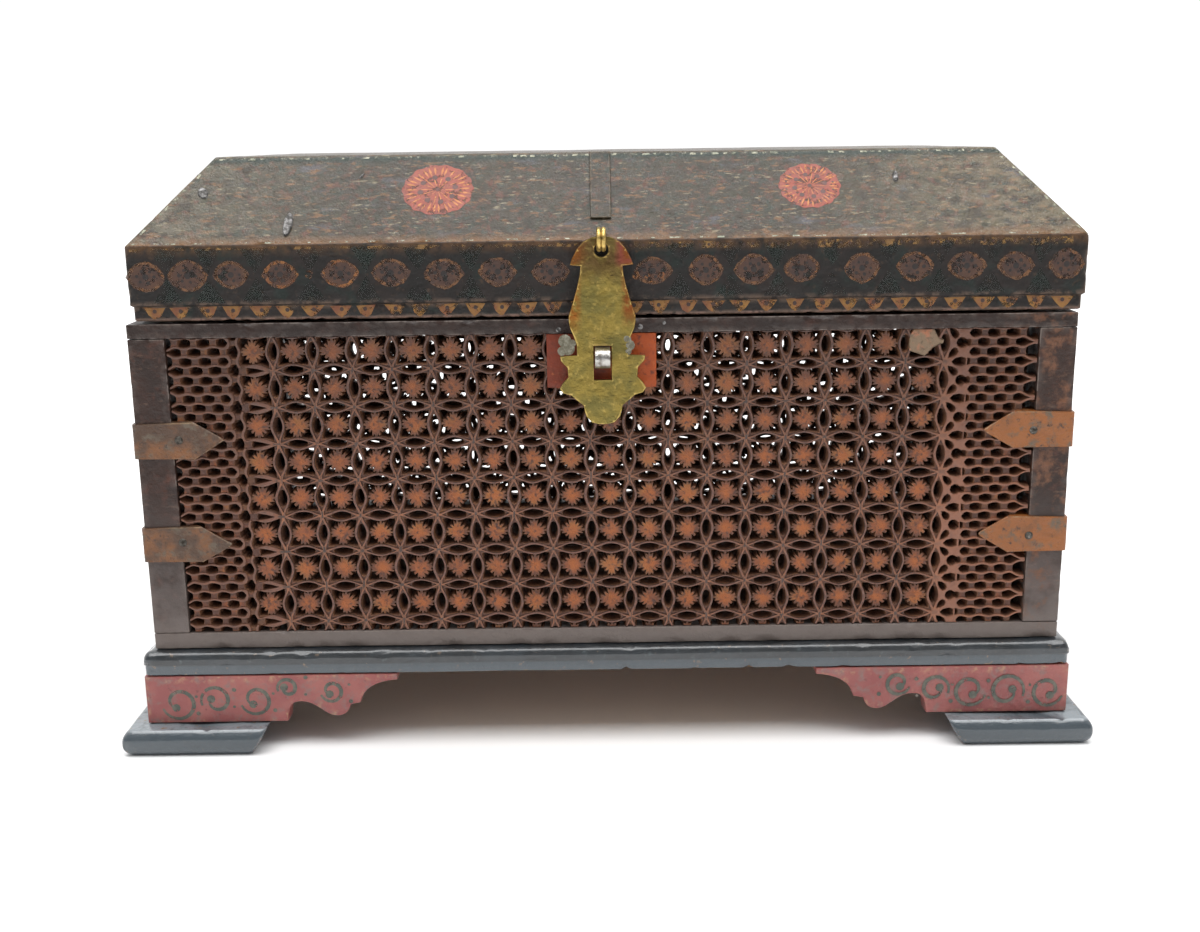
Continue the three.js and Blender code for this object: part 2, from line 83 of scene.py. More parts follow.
# Sizes of the fretwork. A leaf has (half its width, half a line, where its low ends start) and a flower
# (radius, degrees) over an eighth of it; the outlines are measured from a node.
fret = {
    "pitch": 16.7, "rowPitch": 16, "firstRow": 5, "leftMargin": 44.9, "cellSpan": 56.4,
    "leafUp": (2.55, 0.55, 3.1), "leafLong": (2.3, 0.45, 3.5), "leafPower": 1.6, "corner": (0.95, 0.65),
    "flower": ((5.9, 3.5), (4.2, 9), (5.1, 15), (5.0, 21), (2.9, 31), (4.4, 39), (4.2, 45)),
    "arrow": ((-7, -1.5), (-2.5, -1.55), (1, -0.9), (4.5, 0), (1, 0.9), (-2.5, 1.55), (-7, 1.5)),
    "spade": ((3.1, 0), (4.6, 1.5), (7.2, 2.1), (9.2, 1.5), (9.2, -1.5), (7.2, -2.1), (4.6, -1.5)),
    "drop": ((1.5, 1.7), (3.4, 2), (5.1, 3), (5.7, 4.4), (5.2, 5.7), (4, 6.1), (2.8, 5.2), (1.9, 3.6)),
    "link": ((7.2, -1.2), (10, -1.4), (10, 1.4), (7.2, 1.2)), "bead": (7.2, 2.35), "hole": 2.2,
    "chain": (1.55, 0.6), "chainStep": 0.6, "chainSide": (2.7, 0.6, 3.3), "leafEnd": (4.4, 0.9, 2),
    "combPitch": 8.2, "combRow": 4, "line": 0.95, "combClear": (3.2, 3), "combStart": (1.5, 2.1),
    "slotHalf": 1.5, "slotWave": 0.42, "slotTip": 4.6, "slotStep": 0.9, "slotRound": 2,
    "tie": (1.75, 2.1), "tieWaist": 0.45, "borderTie": 1.5, "firstTie": 4.35, "arrowTie": (2, 2.2, 4.75),
    "recess": 0.65, "bevel": 0.25, "thickness": 8, "taper": 0.55, "gap": 0.3, "setBack": 0.6,
    "wobble": 0.26, "wobbleSize": 7, "sunk": 0.25, "sunkTo": 3, "rough": ((0.22, 5), (0.3, 26)),
}


# Materials
def linear(hexColour):
    channels = [int(hexColour[i : i + 2], 16) / 255 for i in (1, 3, 5)]
    return [c / 12.92 if c <= 0.04045 else ((c + 0.055) / 1.055) ** 2.4 for c in channels] + [1]


# Adds a node, sets or links its inputs, and gives back one of its outputs. A colour may be hex text.
def add(tree, kind, inputs, output=0, **settings):
    node = tree.nodes.new("ShaderNode" + kind)
    for name, value in settings.items():
        setattr(node, name, value)
    fill(tree, node, inputs)
    return node.outputs[output]


def fill(tree, node, inputs):
    for name, value in inputs.items():
        if isinstance(value, bpy.types.NodeSocket):
            tree.links.new(value, node.inputs[name])
        else:
            node.inputs[name].default_value = linear(value) if isinstance(value, str) else value


# 0 to 1 in soft patches of a size in millimetres, or of three sizes, from noise between two limits.
def patches(tree, where, size, low, high, seed=0):
    scale = [1 / s for s in (size if isinstance(size, tuple) else (size,) * 3)]
    moved = add(
        tree, "VectorMath", {0: where, 1: scale, 2: (seed, seed * 2, seed * 3)}, operation="MULTIPLY_ADD"
    )
    value = add(tree, "TexNoise", {"Vector": moved, "Scale": 1, "Detail": 4, "Roughness": 0.6})
    limits = {"Value": value, "From Min": low, "From Max": high}
    return add(tree, "MapRange", limits, interpolation_type="SMOOTHSTEP")


# 0 to 1 over an area: rubbed edges, near the fretwork's nodes or flowers, or along x, y or z in mm.
def reached(tree, where, area):
    if area == "worn":
        return add(tree, "Attribute", {}, "Fac", attribute_name="worn")
    kind, start, end, *most = area
    if kind in ("node", "flower"):
        plan = add(tree, "Attribute", {}, "Vector", attribute_name="plan")
        shift = 0.5 if kind == "node" else 0
        plan = add(tree, "VectorMath", {0: plan, 1: (shift, shift, 0)}, operation="ADD")
        cell = add(tree, "VectorMath", {0: plan}, operation="FRACTION")
        pitches = Vector((fret["pitch"], fret["rowPitch"], 0))
        sized = {0: cell, 1: pitches, 2: pitches / -2}
        cell = add(tree, "VectorMath", sized, operation="MULTIPLY_ADD")
        value = add(tree, "VectorMath", {0: cell}, "Value", operation="LENGTH")
    else:
        value = add(tree, "SeparateXYZ", {0: where}, kind)
    limits = {"Value": value, "From Min": start, "From Max": end, "To Max": most[0] if most else 1}
    return add(tree, "MapRange", limits)


# A worn surface: a base colour, layers over it as (colour, patch size, low, high, areas), roughness from
# one value to another, bumps as (patch size, depth in mm), and for flaked paint what is kept of it.
def weathered(name, base, layers=(), rough=(0.4, 0.5), bumps=(), keep=None, **constants):
    material = bpy.data.materials.new(name)
    material.use_nodes = True
    tree = material.node_tree
    place = add(tree, "TexCoord", {}, "Object")
    where = add(tree, "VectorMath", {0: place, "Scale": 1 / mm}, operation="SCALE")
    colour = base
    for seed, (tint, size, low, high, *areas) in enumerate(layers):
        shares = [patches(tree, where, size, low, high, seed * 3)] if size else []
        shares += [reached(tree, where, area) for area in areas]
        mask = shares[0]
        for share in shares[1:]:
            mask = add(tree, "Math", {0: mask, 1: share}, operation="MULTIPLY")
        colour = add(tree, "Mix", {0: mask, 6: colour, 7: tint}, 2, data_type="RGBA")
    spread = {"Value": patches(tree, where, 5, 0.3, 0.7, 5), "To Min": rough[0], "To Max": rough[1]}
    inputs = {"Base Color": colour, "Roughness": add(tree, "MapRange", spread)}
    for size, depth in bumps:
        relief = {"Height": patches(tree, where, size, 0.2, 0.8), "Distance": depth * mm, "Strength": 1}
        if "Normal" in inputs:
            relief["Normal"] = inputs["Normal"]
        inputs["Normal"] = add(tree, "Bump", relief)
    if keep:
        size, low, high, seed = keep
        fine = patches(tree, where, size, low, high, seed)
        broad = patches(tree, where, size * 4, low - 0.12, high - 0.1, seed + 2)
        inputs["Alpha"] = add(tree, "Math", {0: fine, 1: broad}, operation="MULTIPLY")
    inputs.update({name.replace("_", " "): value for name, value in constants.items()})
    fill(tree, tree.nodes["Principled BSDF"], inputs)
    return material


# Shapes
def noiseAt(point, size, seed=0):
    return noise.noise(Vector(point) / size + Vector((seed, seed * 1.7, seed * 2.3)))


def smoothStep(low, high, value):
    share = min(1, max(0, (value - low) / (high - low)))
    return share * share * (3 - 2 * share)


# How round each vertex is: 0 on a flat, 1 on a rounded edge.
def edgeShares(mesh):
    shares = [0] * len(mesh.vertices)
    normals = [v.vector for v in mesh.vertex_normals]
    for face in mesh.polygons:
        for index in face.vertices:
            turn = 1 - normals[index].dot(face.normal)
            shares[index] = max(shares[index], min(1, turn / 0.02))
    return shares


# Sinks the surface by a slow wave and, on its rounded edges, by chips. Nothing moves outwards.
def weather(mesh, worn, wear):
    normals = [v.vector.copy() for v in mesh.vertex_normals]
    for vertex, normal, edge in zip(mesh.vertices, normals, worn):
        point = vertex.co / mm
        sink = wear["wave"] * (0.5 - 0.5 * noiseAt(point, wear["waveSize"], 3))
        if edge and "chip" in wear:
            share = noiseAt(point, wear["chipSize"], 7)
            sink += edge * wear["chip"] * smoothStep(wear["bite"], wear["bite"] + 0.25, share)
        vertex.co -= normal * sink * mm


# Makes a piece from millimetre vertices, weathers it and hangs it on its body.
def makePiece(name, body, shape, materials, replaces=(), wear=None):
    mesh = bpy.data.meshes.new(name)
    mesh.from_pydata([Vector(v) * mm for v in shape["vertices"]], [], shape["faces"])
    for material in materials:
        mesh.materials.append(material)
    if "kinds" in shape and len(materials) > 1:
        mesh.polygons.foreach_set("material_index", shape["kinds"])
    mesh.shade_smooth()
    mesh.set_sharp_from_angle(angle=math.radians(40))
    worn = shape.get("edges") or edgeShares(mesh)
    if wear:
        weather(mesh, worn, wear)
    mesh.attributes.new("worn", "FLOAT", "POINT").data.foreach_set("value", worn)
    if "plan" in shape:
        plan = mesh.attributes.new("plan", "FLOAT_VECTOR", "POINT")
        plan.data.foreach_set("vector", [n for point in shape["plan"] for n in point])
    piece = bpy.data.objects.new(name, mesh)
    bpy.context.scene.collection.objects.link(piece)
    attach(piece, body)
    if replaces:
        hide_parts(*replaces)


def joinShapes(shapes):
    joined = {"vertices": [], "faces": []}
    for shape in shapes:
        start = len(joined["vertices"])
        joined["vertices"] += shape["vertices"]
        joined["faces"] += [[index + start for index in face] for face in shape["faces"]]
        for key in ("kinds", "edges", "plan"):
            if all(key in each for each in shapes):
                joined.setdefault(key, []).extend(shape[key])
    return joined


# Rings of equal length, skinned, and closed at both ends or back to the first ring.
def loft(rings, kinds=None, endless=False):
    count, levels = len(rings[0]), len(rings)
    kinds = kinds or [0] * levels
    faces, faceKinds = [], []
    for level in range(levels if endless else levels - 1):
        low, high = level * count, (level + 1) % levels * count
        for i in range(count):
            j = (i + 1) % count
            faces.append([low + i, low + j, high + j, high + i])
        faceKinds += [kinds[level]] * count
    if not endless:
        faces.append(list(range(count))[::-1])
        faces.append([(levels - 1) * count + i for i in range(count)])
        faceKinds += [kinds[0], kinds[-1]]
    return {"vertices": [point for ring in rings for point in ring], "faces": faces, "kinds": faceKinds}


# A whole turn shared out evenly.
def evenTurns(count):
    return [2 * math.pi * k / count for k in range(count)]


def circle(centre, first, second, radius, count):
    return [centre + (first * math.cos(t) + second * math.sin(t)) * radius for t in evenTurns(count)]


# A round piece on an axis, from (height, radius) pairs.
def turned(place, axis, profile, count=16):
    axis = Vector(axis).normalized()
    first = axis.orthogonal().normalized()
    second = axis.cross(first)
    return loft([circle(Vector(place) + axis * h, first, second, r, count) for h, r in profile])


def nailHead(place, axis, radius, height):
    return turned(place, axis, [(height * math.sin(t), radius * math.cos(t)) for t in (0, 0.5, 1, 1.4)], 12)


# Tube of a given radius along points.
def tube(points, radius, count=10):
    rings = []
    points = [Vector(p) for p in points]
    across = (points[1] - points[0]).orthogonal()
    for i, point in enumerate(points):
        ahead = (points[min(i + 1, len(points) - 1)] - points[max(i - 1, 0)]).normalized()
        across = (across - ahead * across.dot(ahead)).normalized()
        rings.append(circle(point, across, ahead.cross(across), radius, count))
    return loft(rings)


# Points round a rectangle with rounded corners; counts are the steps along its two kinds of side.
def rectRing(low, high, radius, counts, corner=4):
    points = []
    corners = [(high[0], low[1]), (high[0], high[1]), (low[0], high[1]), (low[0], low[1])]
    for i, place in enumerate(corners):
        place, before = Vector(place), Vector(corners[i - 1])
        unit = (place - before).normalized()
        inward = Vector((-unit.y, unit.x))
        straight = (place - before).length - 2 * radius
        for k in range(1, counts[i % 2]):
            points.append(before + unit * (radius + straight * k / counts[i % 2]))
        centre = place + (inward - unit) * radius
        for k in range(corner + 1):
            turn = math.pi / 2 * k / corner
            points.append(centre + (unit * math.sin(turn) - inward * math.cos(turn)) * radius)
    return points


# A board between two corners with rounded edges, along its longest axis.
def board(low, high, radius=0.8, step=4):
    size = [high[i] - low[i] for i in range(3)]
    long = size.index(max(size))
    across = [i for i in range(3) if i != long]
    counts = [max(2, round(size[i] / step)) for i in across]
    turns = [math.radians(a) for a in (0, 22, 45, 67, 90)]
    ends = [(radius * (1 - math.cos(t)), radius * (1 - math.sin(t))) for t in turns]
    inner = max(2, round(size[long] / step))
    levels = ends + [(radius + (size[long] - 2 * radius) * k / inner, 0) for k in range(1, inner)]
    levels += [(size[long] - place, inset) for place, inset in reversed(ends)]
    rings = []
    for place, inset in levels:
        corners = [[low[i] + inset for i in across], [high[i] - inset for i in across]]
        ring = []
        for point in rectRing(*corners, max(radius - inset, 0.15), counts):
            spot = [0, 0, 0]
            spot[across[0]], spot[across[1]], spot[long] = point[0], point[1], low[long] + place
            ring.append(spot)
        rings.append(ring if long != 1 else ring[::-1])
    return loft(rings)


# Triangles of a flat figure: keep is asked, for the loops that a triangle lies in, whether it stays.
def triangulate(loops, keep, spacing=0):
    points, faces = [], []
    for loop in loops:
        area = sum(a[0] * b[1] - b[0] * a[1] for a, b in zip(loop, loop[1:] + loop[:1]))
        faces.append(list(range(len(points), len(points) + len(loop))))
        points += [Vector(p) for p in (loop if area > 0 else loop[::-1])]
    if spacing:
        xs, ys = [p.x for p in points], [p.y for p in points]
        for row in range(1, int((max(ys) - min(ys)) / spacing) + 1):
            for column in range(1, int((max(xs) - min(xs)) / spacing) + 1):
                x = min(xs) + (column - 0.5 * (row % 2)) * spacing
                points.append(Vector((x, min(ys) + (row - 0.5) * spacing)))
    flat, _, triangles, _, _, owners = delaunay_2d_cdt(points, [], faces, 0, 1e-4)
    kept = [list(t) for t, owner in zip(triangles, owners) if owner and keep(set(owner))]
    return [tuple(p) for p in flat], kept


# A slab of that figure, with inset rings of (inset, depth) from its front face to its back one.
# Its faces are of kind 0 in front, 1 round the edge and 2 behind.
def slab(flat, triangles, rings, place):
    used = {(a, b) for t in triangles for a, b in zip(t, t[1:] + t[:1])}
    border = [(a, b) for a, b in used if (b, a) not in used]
    border.sort()
    lean = {}
    for a, b in border:
        direction = (Vector(flat[b]) - Vector(flat[a])).normalized()
        for index in (a, b):
            lean.setdefault(index, []).append(Vector((-direction.y, direction.x)))
    inward = {}
    for index, normals in lean.items():
        total = sum(normals, Vector((0, 0))).normalized()
        inward[index] = total / max(0.6, total.dot(normals[0]))
    everyone = sorted({index for t in triangles for index in t})
    shape = {"vertices": [], "faces": [], "kinds": [], "edges": [], "plan": []}
    tables = []
    for number, (inset, depth) in enumerate(rings):
        table = {}
        for index in everyone if number in (0, len(rings) - 1) else lean:
            x, y = Vector(flat[index]) + inward.get(index, Vector((0, 0))) * inset
            table[index] = len(shape["vertices"])
            shape["vertices"].append(place(x, y, depth))
            shape["edges"].append(1.0 if index in lean and number == 0 else 0.0)
            shape["plan"].append((x, y, 0))
        tables.append(table)
    for t in triangles:
        shape["faces"] += [[tables[0][i] for i in t], [tables[-1][i] for i in reversed(t)]]
        shape["kinds"] += [0, 2]
    for upper, lower in zip(tables, tables[1:]):
        for a, b in border:
            shape["faces"].append([upper[b], upper[a], lower[a], lower[b]])
            shape["kinds"].append(1)
    return shape


# A slab cut from one outline, of one kind all over.
def plate(loop, rings, place, spacing=2):
    shape = slab(*triangulate([loop], bool, spacing), rings, place)
    shape["kinds"] = [0] * len(shape["kinds"])
    return shape


def flipped(shape):
    return {**shape, "faces": [face[::-1] for face in shape["faces"]]}


# A sheet of paint one layer thick, cut from loops, with holes where they lie in one another.
def paintSheet(loops, place, spacing=0):
    flat, triangles = triangulate(loops, lambda owners: len(owners) % 2 == 1, spacing)
    vertices = [place(x, y) for x, y in flat]
    return {"vertices": vertices, "faces": triangles, "edges": [0.0] * len(flat)}


def rectangle(left, low, right, high):
    return [(left, low), (right, low), (right, high), (left, high)]


def inLoop(count, radius, centre=(0, 0)):
    return [(centre[0] + radius * math.cos(t), centre[1] + radius * math.sin(t)) for t in evenTurns(count)]


def jitter(loop, amount):
    return [(x + dice.uniform(-amount, amount), y + dice.uniform(-amount, amount)) for x, y in loop]


def arc(centre, radius, start, end, steps):
    turns = [math.radians(start + (end - start) * k / steps) for k in range(steps + 1)]
    return [(centre[0] + radius * math.cos(t), centre[1] + radius * math.sin(t)) for t in turns]


# Straight, quadratic and cubic pieces, each given by its points after the last one.
def curveThrough(start, pieces, steps=8):
    points = [Vector(start)]
    for piece in pieces:
        knots = [points[-1].copy()] + [Vector(p) for p in piece]
        count = steps if len(knots) > 2 else 1
        for k in range(1, count + 1):
            layer = knots
            while len(layer) > 1:
                layer = [a.lerp(b, k / count) for a, b in zip(layer, layer[1:])]
            points.append(layer[0])
    return [tuple(p) for p in points]


# A point on one side of the casket: along it, height, and depth behind its face.
def onSide(side, along, height, depth):
    return side["spin"] @ Vector((along, depth - side["reach"], height))


# Sections swept round the casket: runs of (inset, height) points, one run for each zone of the face.
def sweptFrame(runs, half, centre, step, endless=False, radius=1.2):
    profile, kinds = [], []
    for kind, points in enumerate(runs):
        for a, b in zip(points, points[1:]):
            count = max(1, round(math.dist(a, b) / step))
            profile += [Vector(a).lerp(Vector(b), k / count) for k in range(count)]
            kinds += [kind] * count
    if not endless:
        profile.append(Vector(runs[-1][-1]))
    counts = [round(2 * half[0] / step), round(2 * half[1] / step)]
    rings = []
    for inset, height in profile:
        reach = half - Vector((inset, inset))
        ring = rectRing(centre - reach, centre + reach, radius, counts)
        rings.append([Vector((x, y, height)) for x, y in ring])
    return loft(rings, kinds, endless)


# Fretwork

# Dull varnished lines of the fretwork: dark sides, a lighter ridge, orange-brown where they cross,
# and painted shade that darkens them towards the top, under the lid.
def varnishedFret():
    layers = [
        ("#4c3831", 9, 0.35, 0.7),
        ("#6c4638", 4, 0.15, 0.4, "worn"),
        ("#8a5637", 5, 0.1, 0.45, "worn", ("node", 4.4, 1.8)),
        ("#735a4c", 2.4, 0.58, 0.78, "worn"),
        ("#8a5a42", 4, 0.2, 0.55, (0, 134, 146, 0.7), (1, -100, -104)),
        ("#704a38", 4, 0.2, 0.55, (0, -138, -150, 0.6), (1, -100, -104)),
        # Darker towards the top: painted shade under the lid.
        ("#2f211c", 0, 0, 0, (2, 110, 186, 0.5)),
    ]
    return weathered("varnishedFret", "#38271f", layers, (0.36, 0.5), [(1.2, 0.12)])


# Orange-brown painted flowers and ties, brightest in the middle of a flower, grimy at the tips,
# with painted shade that darkens them towards the top, under the lid.
def orangePaint():
    layers = [
        ("#7a4022", 10, 0.35, 0.68),
        ("#8a5422", 17, 0.52, 0.62),
        ("#95501f", 6, 0.25, 0.55, ("flower", 4.2, 1.2)),
        ("#432519", 2, 0.48, 0.7),
        ("#43271d", 3, 0.2, 0.5, ("flower", 3.2, 5.4, 0.75)),
        # Darker towards the top: painted shade under the lid.
        ("#35231b", 0, 0, 0, (2, 110, 186, 0.5)),
    ]
    return weathered("orangePaint", "#64361f", layers, (0.42, 0.55), [(1, 0.15)])


# Saw-cut walls of the piercing: bare brown wood with dust in it.
def sawnWood():
    layers = [("#7a5238", 5, 0.35, 0.7), ("#4a2f22", 2, 0.5, 0.7)]
    return weathered("sawnWood", "#5f4030", layers, (0.65, 0.75), [(0.8, 0.1)])


# The large opening among four nodes, whose sides follow the leaves; a chain of dots ends the lattice.
def cellOutline(leftBorder):
    a, b, steps = fret["pitch"] / 2, fret["rowPitch"] / 2, 12
    (riseUp, lineUp, _), (riseLong, lineLong, _) = fret["leafUp"], fret["leafLong"]
    (edgeX, edgeY), (narrow, wave, chainTip) = fret["corner"], fret["chainSide"]
    low = lambda x: lineLong + riseLong * math.cos(math.pi * x / 2 / a) ** fret["leafPower"]
    wide = lambda y: lineUp + riseUp * math.cos(math.pi * y / 2 / b) ** fret["leafPower"]
    left = (lambda y: narrow + wave * math.cos(2 * math.pi * y / b)) if leftBorder else wide
    tip = chainTip if leftBorder else edgeX
    xs = [-a + tip + (2 * a - tip - edgeX) * k / steps for k in range(steps)]
    ys = [-b + edgeY + 2 * (b - edgeY) * k / steps for k in range(steps)]
    loop = [(x, -b + low(x)) for x in xs] + [(a - wide(y), y) for y in ys]
    back = [a - edgeX - (2 * a - tip - edgeX) * k / steps for k in range(steps)]
    return loop + [(x, b - low(x)) for x in back] + [(-a + left(-y), -y) for y in ys]


# A flower with three teeth a quarter; its four long tips run under the lines.
def flowerOutline():
    half = list(fret["flower"])
    corner = half + [(r, 90 - angle) for r, angle in half[-2::-1]]
    size = dice.uniform(0.94, 1.05)
    spots = [(r * size, math.radians(angle + 90 * turn)) for turn in range(4) for r, angle in corner]
    return jitter([(r * math.cos(a), r * math.sin(a)) for r, a in spots], 0.15)


# A leaf-shaped opening between two nodes, and the wood low in its ends.
def leafOutline(upright, steps=14):
    rise, line, _ = fret["leafUp" if upright else "leafLong"]
    half = (fret["rowPitch"] if upright else fret["pitch"]) / 2
    reach = half * math.acos((line / rise) ** (1 / fret["leafPower"])) * 2 / math.pi
    xs = [-reach + 2 * reach * k / steps for k in range(steps)]
    upper = [(x, rise * math.cos(math.pi * x / 2 / half) ** fret["leafPower"] - line) for x in xs]
    return [(x, max(0, y)) for x, y in upper] + [(-x, -max(0, y)) for x, y in upper]


def leafEnd(upright, sign):
    inner, (long, notch, half) = fret["leafUp" if upright else "leafLong"][2], fret["leafEnd"]
    end = inner + long
    loop = [(inner + notch, 0), (inner, half), (end, half), (end, -half), (inner, -half)]
    return [(sign * x, y) for x, y in loop]


def bowTie(half, reach=fret["tie"][1]):
    waist = half - fret["tieWaist"]
    return [(-half, -reach), (half, -reach), (waist, 0), (half, reach), (-half, reach), (-waist, 0)]


def shifted(loop, x, y, upright=False, size=0.03, drift=0.12):
    grow = 1 + dice.uniform(-size, size)
    dx, dy = dice.uniform(-drift, drift), dice.uniform(-drift, drift)
    spots = [(-b, a) for a, b in loop] if upright else loop
    return [(a * grow + x + dx, b * grow + y + dy) for a, b in spots]


# A slot of the comb between two waving lines: a leaf tip towards the frame, or cut by it.
def combSlot(start, end, hole, leafTip, leafRow):
    steps = max(6, round(abs(end - start) / fret["slotStep"]))
    full, tip, bow = fret["combRow"] - fret["line"], fret["slotTip"], fret["slotRound"]
    upper = []
    for k in range(steps + 1):
        u = start + (end - start) * k / steps
        half = fret["slotHalf"] + fret["slotWave"] * math.cos(2 * math.pi * (u - hole) / fret["combPitch"])
        left = (leafTip - u) * (1 if leafTip > 0 else -1)
        taper = smoothStep(0, tip, left) ** 0.7
        if leafRow:
            half *= taper
        elif left < tip:
            half = full - (full - half) * taper
        if not leafRow and abs(u - start) < bow:
            half *= math.sqrt(max(0.02, 1 - (1 - abs(u - start) / bow) ** 2))
        upper.append((u, half))
    return upper + [(u, -half) for u, half in reversed(upper)]


# Openings and low pieces of the field: nodes in rows, flowers among them, leaves between them.
def fieldPlan(firstX, columns, rows):
    pitch, (beadX, bead), (tieHalf, tieReach, tieX) = fret["pitch"], fret["bead"], fret["arrowTie"]
    lastX = firstX + (columns - 1) * pitch
    openings, ties = [], []
    for row in rows:
        middle = row + fret["rowPitch"] / 2
        for i in range(columns):
            x = firstX + i * pitch
            for upright in (False, True) if i < columns - 1 else (True,):
                place = (x, middle) if upright else (x + pitch / 2, row)
                openings.append(shifted(leafOutline(upright), *place, upright, size=0.01))
                ties += [shifted(leafEnd(upright, sign), *place, upright) for sign in (1, -1)]
            openings.append(shifted(cellOutline(i == 0), x - pitch / 2, middle, drift=0.05, size=0.01))
            ties.append(shifted(flowerOutline(), x - pitch / 2, middle))
        openings.append(shifted(fret["arrow"], firstX - pitch / 2, row))
        ties.append(shifted(bowTie(tieHalf, tieReach), firstX - pitch / 2 - tieX, row))
        openings.append(shifted(fret["spade"], lastX, row))
        openings.append(shifted(inLoop(10, bead), lastX + beadX, middle))
        openings.append(shifted(fret["link"], lastX, middle, drift=0))
        openings += [shifted([(x, y * sign) for x, y in fret["drop"]], lastX, row) for sign in (1, -1)]
    return openings, ties


# Openings and low pieces of the comb between the field's border and the frame.
def combPlan(border, direction, half, height):
    comb, rowStep, slotTip = fret["combPitch"], fret["combRow"], fret["slotTip"]
    (inside, beyond), (leafStart, slotStart) = fret["combClear"], fret["combStart"]
    openings, ties = [], []
    leafHoles = [border + direction * comb * k for k in range(1, 8)]
    tip = [hole for hole in leafHoles if abs(hole) < half - inside][-1] + direction * slotTip
    level = 1
    while level < height + 2:
        leafRow = round((level - fret["firstRow"]) / rowStep) % 2 == 0
        holes = [border + direction * comb * (k + (1 if leafRow else 0.5)) for k in range(8)]
        holes = [hole for hole in holes if abs(hole) < half + (-inside if leafRow else beyond)]
        start, end = (leafStart, tip) if leafRow else (slotStart, direction * (half + 2))
        slot = combSlot(border + direction * start, end, holes[0], tip, leafRow)
        openings.append(shifted(slot, 0, level, size=0))
        spots = [hole + direction * comb / 2 for hole in (holes[:-1] if leafRow else holes)]
        if leafRow:
            spots.insert(0, border + direction * fret["firstTie"])
        elif direction < 0:
            ties.append(shifted(bowTie(fret["borderTie"]), border, level, upright=True))
        ties += [shifted(bowTie(fret["tie"][0]), spot, level, size=0.08, drift=0.2) for spot in spots]
        level += rowStep
    return openings, ties


def fretPlan(half, height):
    pitch, rowPitch = fret["pitch"], fret["rowPitch"]
    columns = round((2 * half - fret["cellSpan"]) / pitch - 0.5)
    firstX = -half + fret["leftMargin"]
    rows = [fret["firstRow"] + rowPitch * k for k in range(-1, int(height / rowPitch) + 1)]
    openings, ties = fieldPlan(firstX, columns, rows)
    chainX = firstX - pitch
    narrow, wave = fret["chain"]
    rise = [-2 + fret["chainStep"] * k for k in range(int((height + 4) / fret["chainStep"]) + 1)]
    wide = [narrow + wave * math.cos(2 * math.pi * (v - fret["firstRow"]) / (rowPitch / 2)) for v in rise]
    chain = [(chainX + w, v) for v, w in zip(rise, wide)]
    openings.append(chain + [(2 * chainX - x, v) for x, v in reversed(chain)])
    openings += [shifted(inLoop(16, fret["hole"]), chainX, row) for row in rows]
    for border, direction in ((chainX, -1), (firstX + (columns - 0.5) * pitch, 1)):
        moreOpenings, moreTies = combPlan(border, direction, half, height)
        openings += moreOpenings
        ties += moreTies
    return firstX, openings, ties


def wobbled(loop, seed):
    drift = lambda x, y, layer: noiseAt((x, y, layer), fret["wobbleSize"]) * fret["wobble"]
    return [(x + drift(x, y, seed), y + drift(x, y, seed + 40)) for x, y in loop]


# Two layers: the raised lines in front, and under them the body of the panel with flowers and ties.
def makeFretPanel(side, materials, seed):
    half, height = side["along"] - postSize, openingTop - openingBottom
    gap, bevel, recess = fret["gap"], fret["bevel"], fret["recess"]
    firstX, openings, ties = fretPlan(half, height)
    edge = rectangle(-half + gap, gap, half - gap, height - gap)
    loops = [edge] + [wobbled(loop, seed) for loop in openings + ties]
    last = len(openings)
    isLine = lambda owners: 0 in owners and not any(1 <= o <= last for o in owners)
    isWood = lambda owners: 0 in owners and (isLine(owners) or max(owners) > last)

    def place(x, y, depth):
        rough = sum(most * noiseAt((x, y, seed), size) for most, size in fret["rough"])
        sink = fret["sunk"] + rough if depth < fret["sunkTo"] else 0
        return onSide(side, x, openingBottom + y, fret["setBack"] + max(0, depth + sink))

    parts = []
    for keep, start, end in ((isLine, 0, recess + bevel + 0.05), (isWood, recess, fret["thickness"])):
        rings = [(bevel, start), (bevel * 0.3, start + bevel * 0.3), (0, start + bevel), (0, end)]
        if keep is isWood:
            rings[3:] = [(-fret["taper"], end / 2), (-fret["taper"], end)]
        part = slab(*triangulate(loops, keep), rings, place)
        part["plan"] = [
            ((x - firstX) / fret["pitch"], (y - fret["firstRow"]) / fret["rowPitch"], 0)
            for x, y, _ in part["plan"]
        ]
        part["kinds"] = [0 if keep is isLine else (1, 2, 2)[kind] for kind in part["kinds"]]
        parts.append(part)
    name = "lattice_panel_" + side["name"]
    makePiece("fretwork_" + side["name"], "box", joinShapes(parts), materials, [name])


# Frame of the carcass

# Rosewood-brown lacquer of the frame: nearly black above, scuffed to red wood, dusty grey low down.
def lacqueredFrame():
    layers = [
        ("#331d14", 22, 0.35, 0.7),
        ("#4c2a1d", 6, 0.5, 0.78),
        ("#563f32", (7, 7, 2.5), 0.58, 0.78),
        ("#665c58", 12, 0.15, 0.6, (2, 115, 44)),
        ("#1a0f0b", 0, 0, 0, (2, 180, 185, 0.6)),
        ("#6a452f", 7, 0.48, 0.7, (0, 165, 190)),
        ("#665c57", 7, 0.05, 0.4, (2, 60, 49)),
        ("#6f655f", 4, 0.4, 0.62, "worn"),
    ]
    bumps = [(3, 0.25), (0.7, 0.05)]
    return weathered("lacqueredFrame", "#24150f", layers, (0.32, 0.55), bumps, Specular_IOR_Level=0.4)


carcass = {
    "joint": 0.28, "round": 0.5,
    "wear": {"wave": 0.25, "waveSize": 25, "chip": 0.7, "chipSize": 4, "bite": 0.3},
}


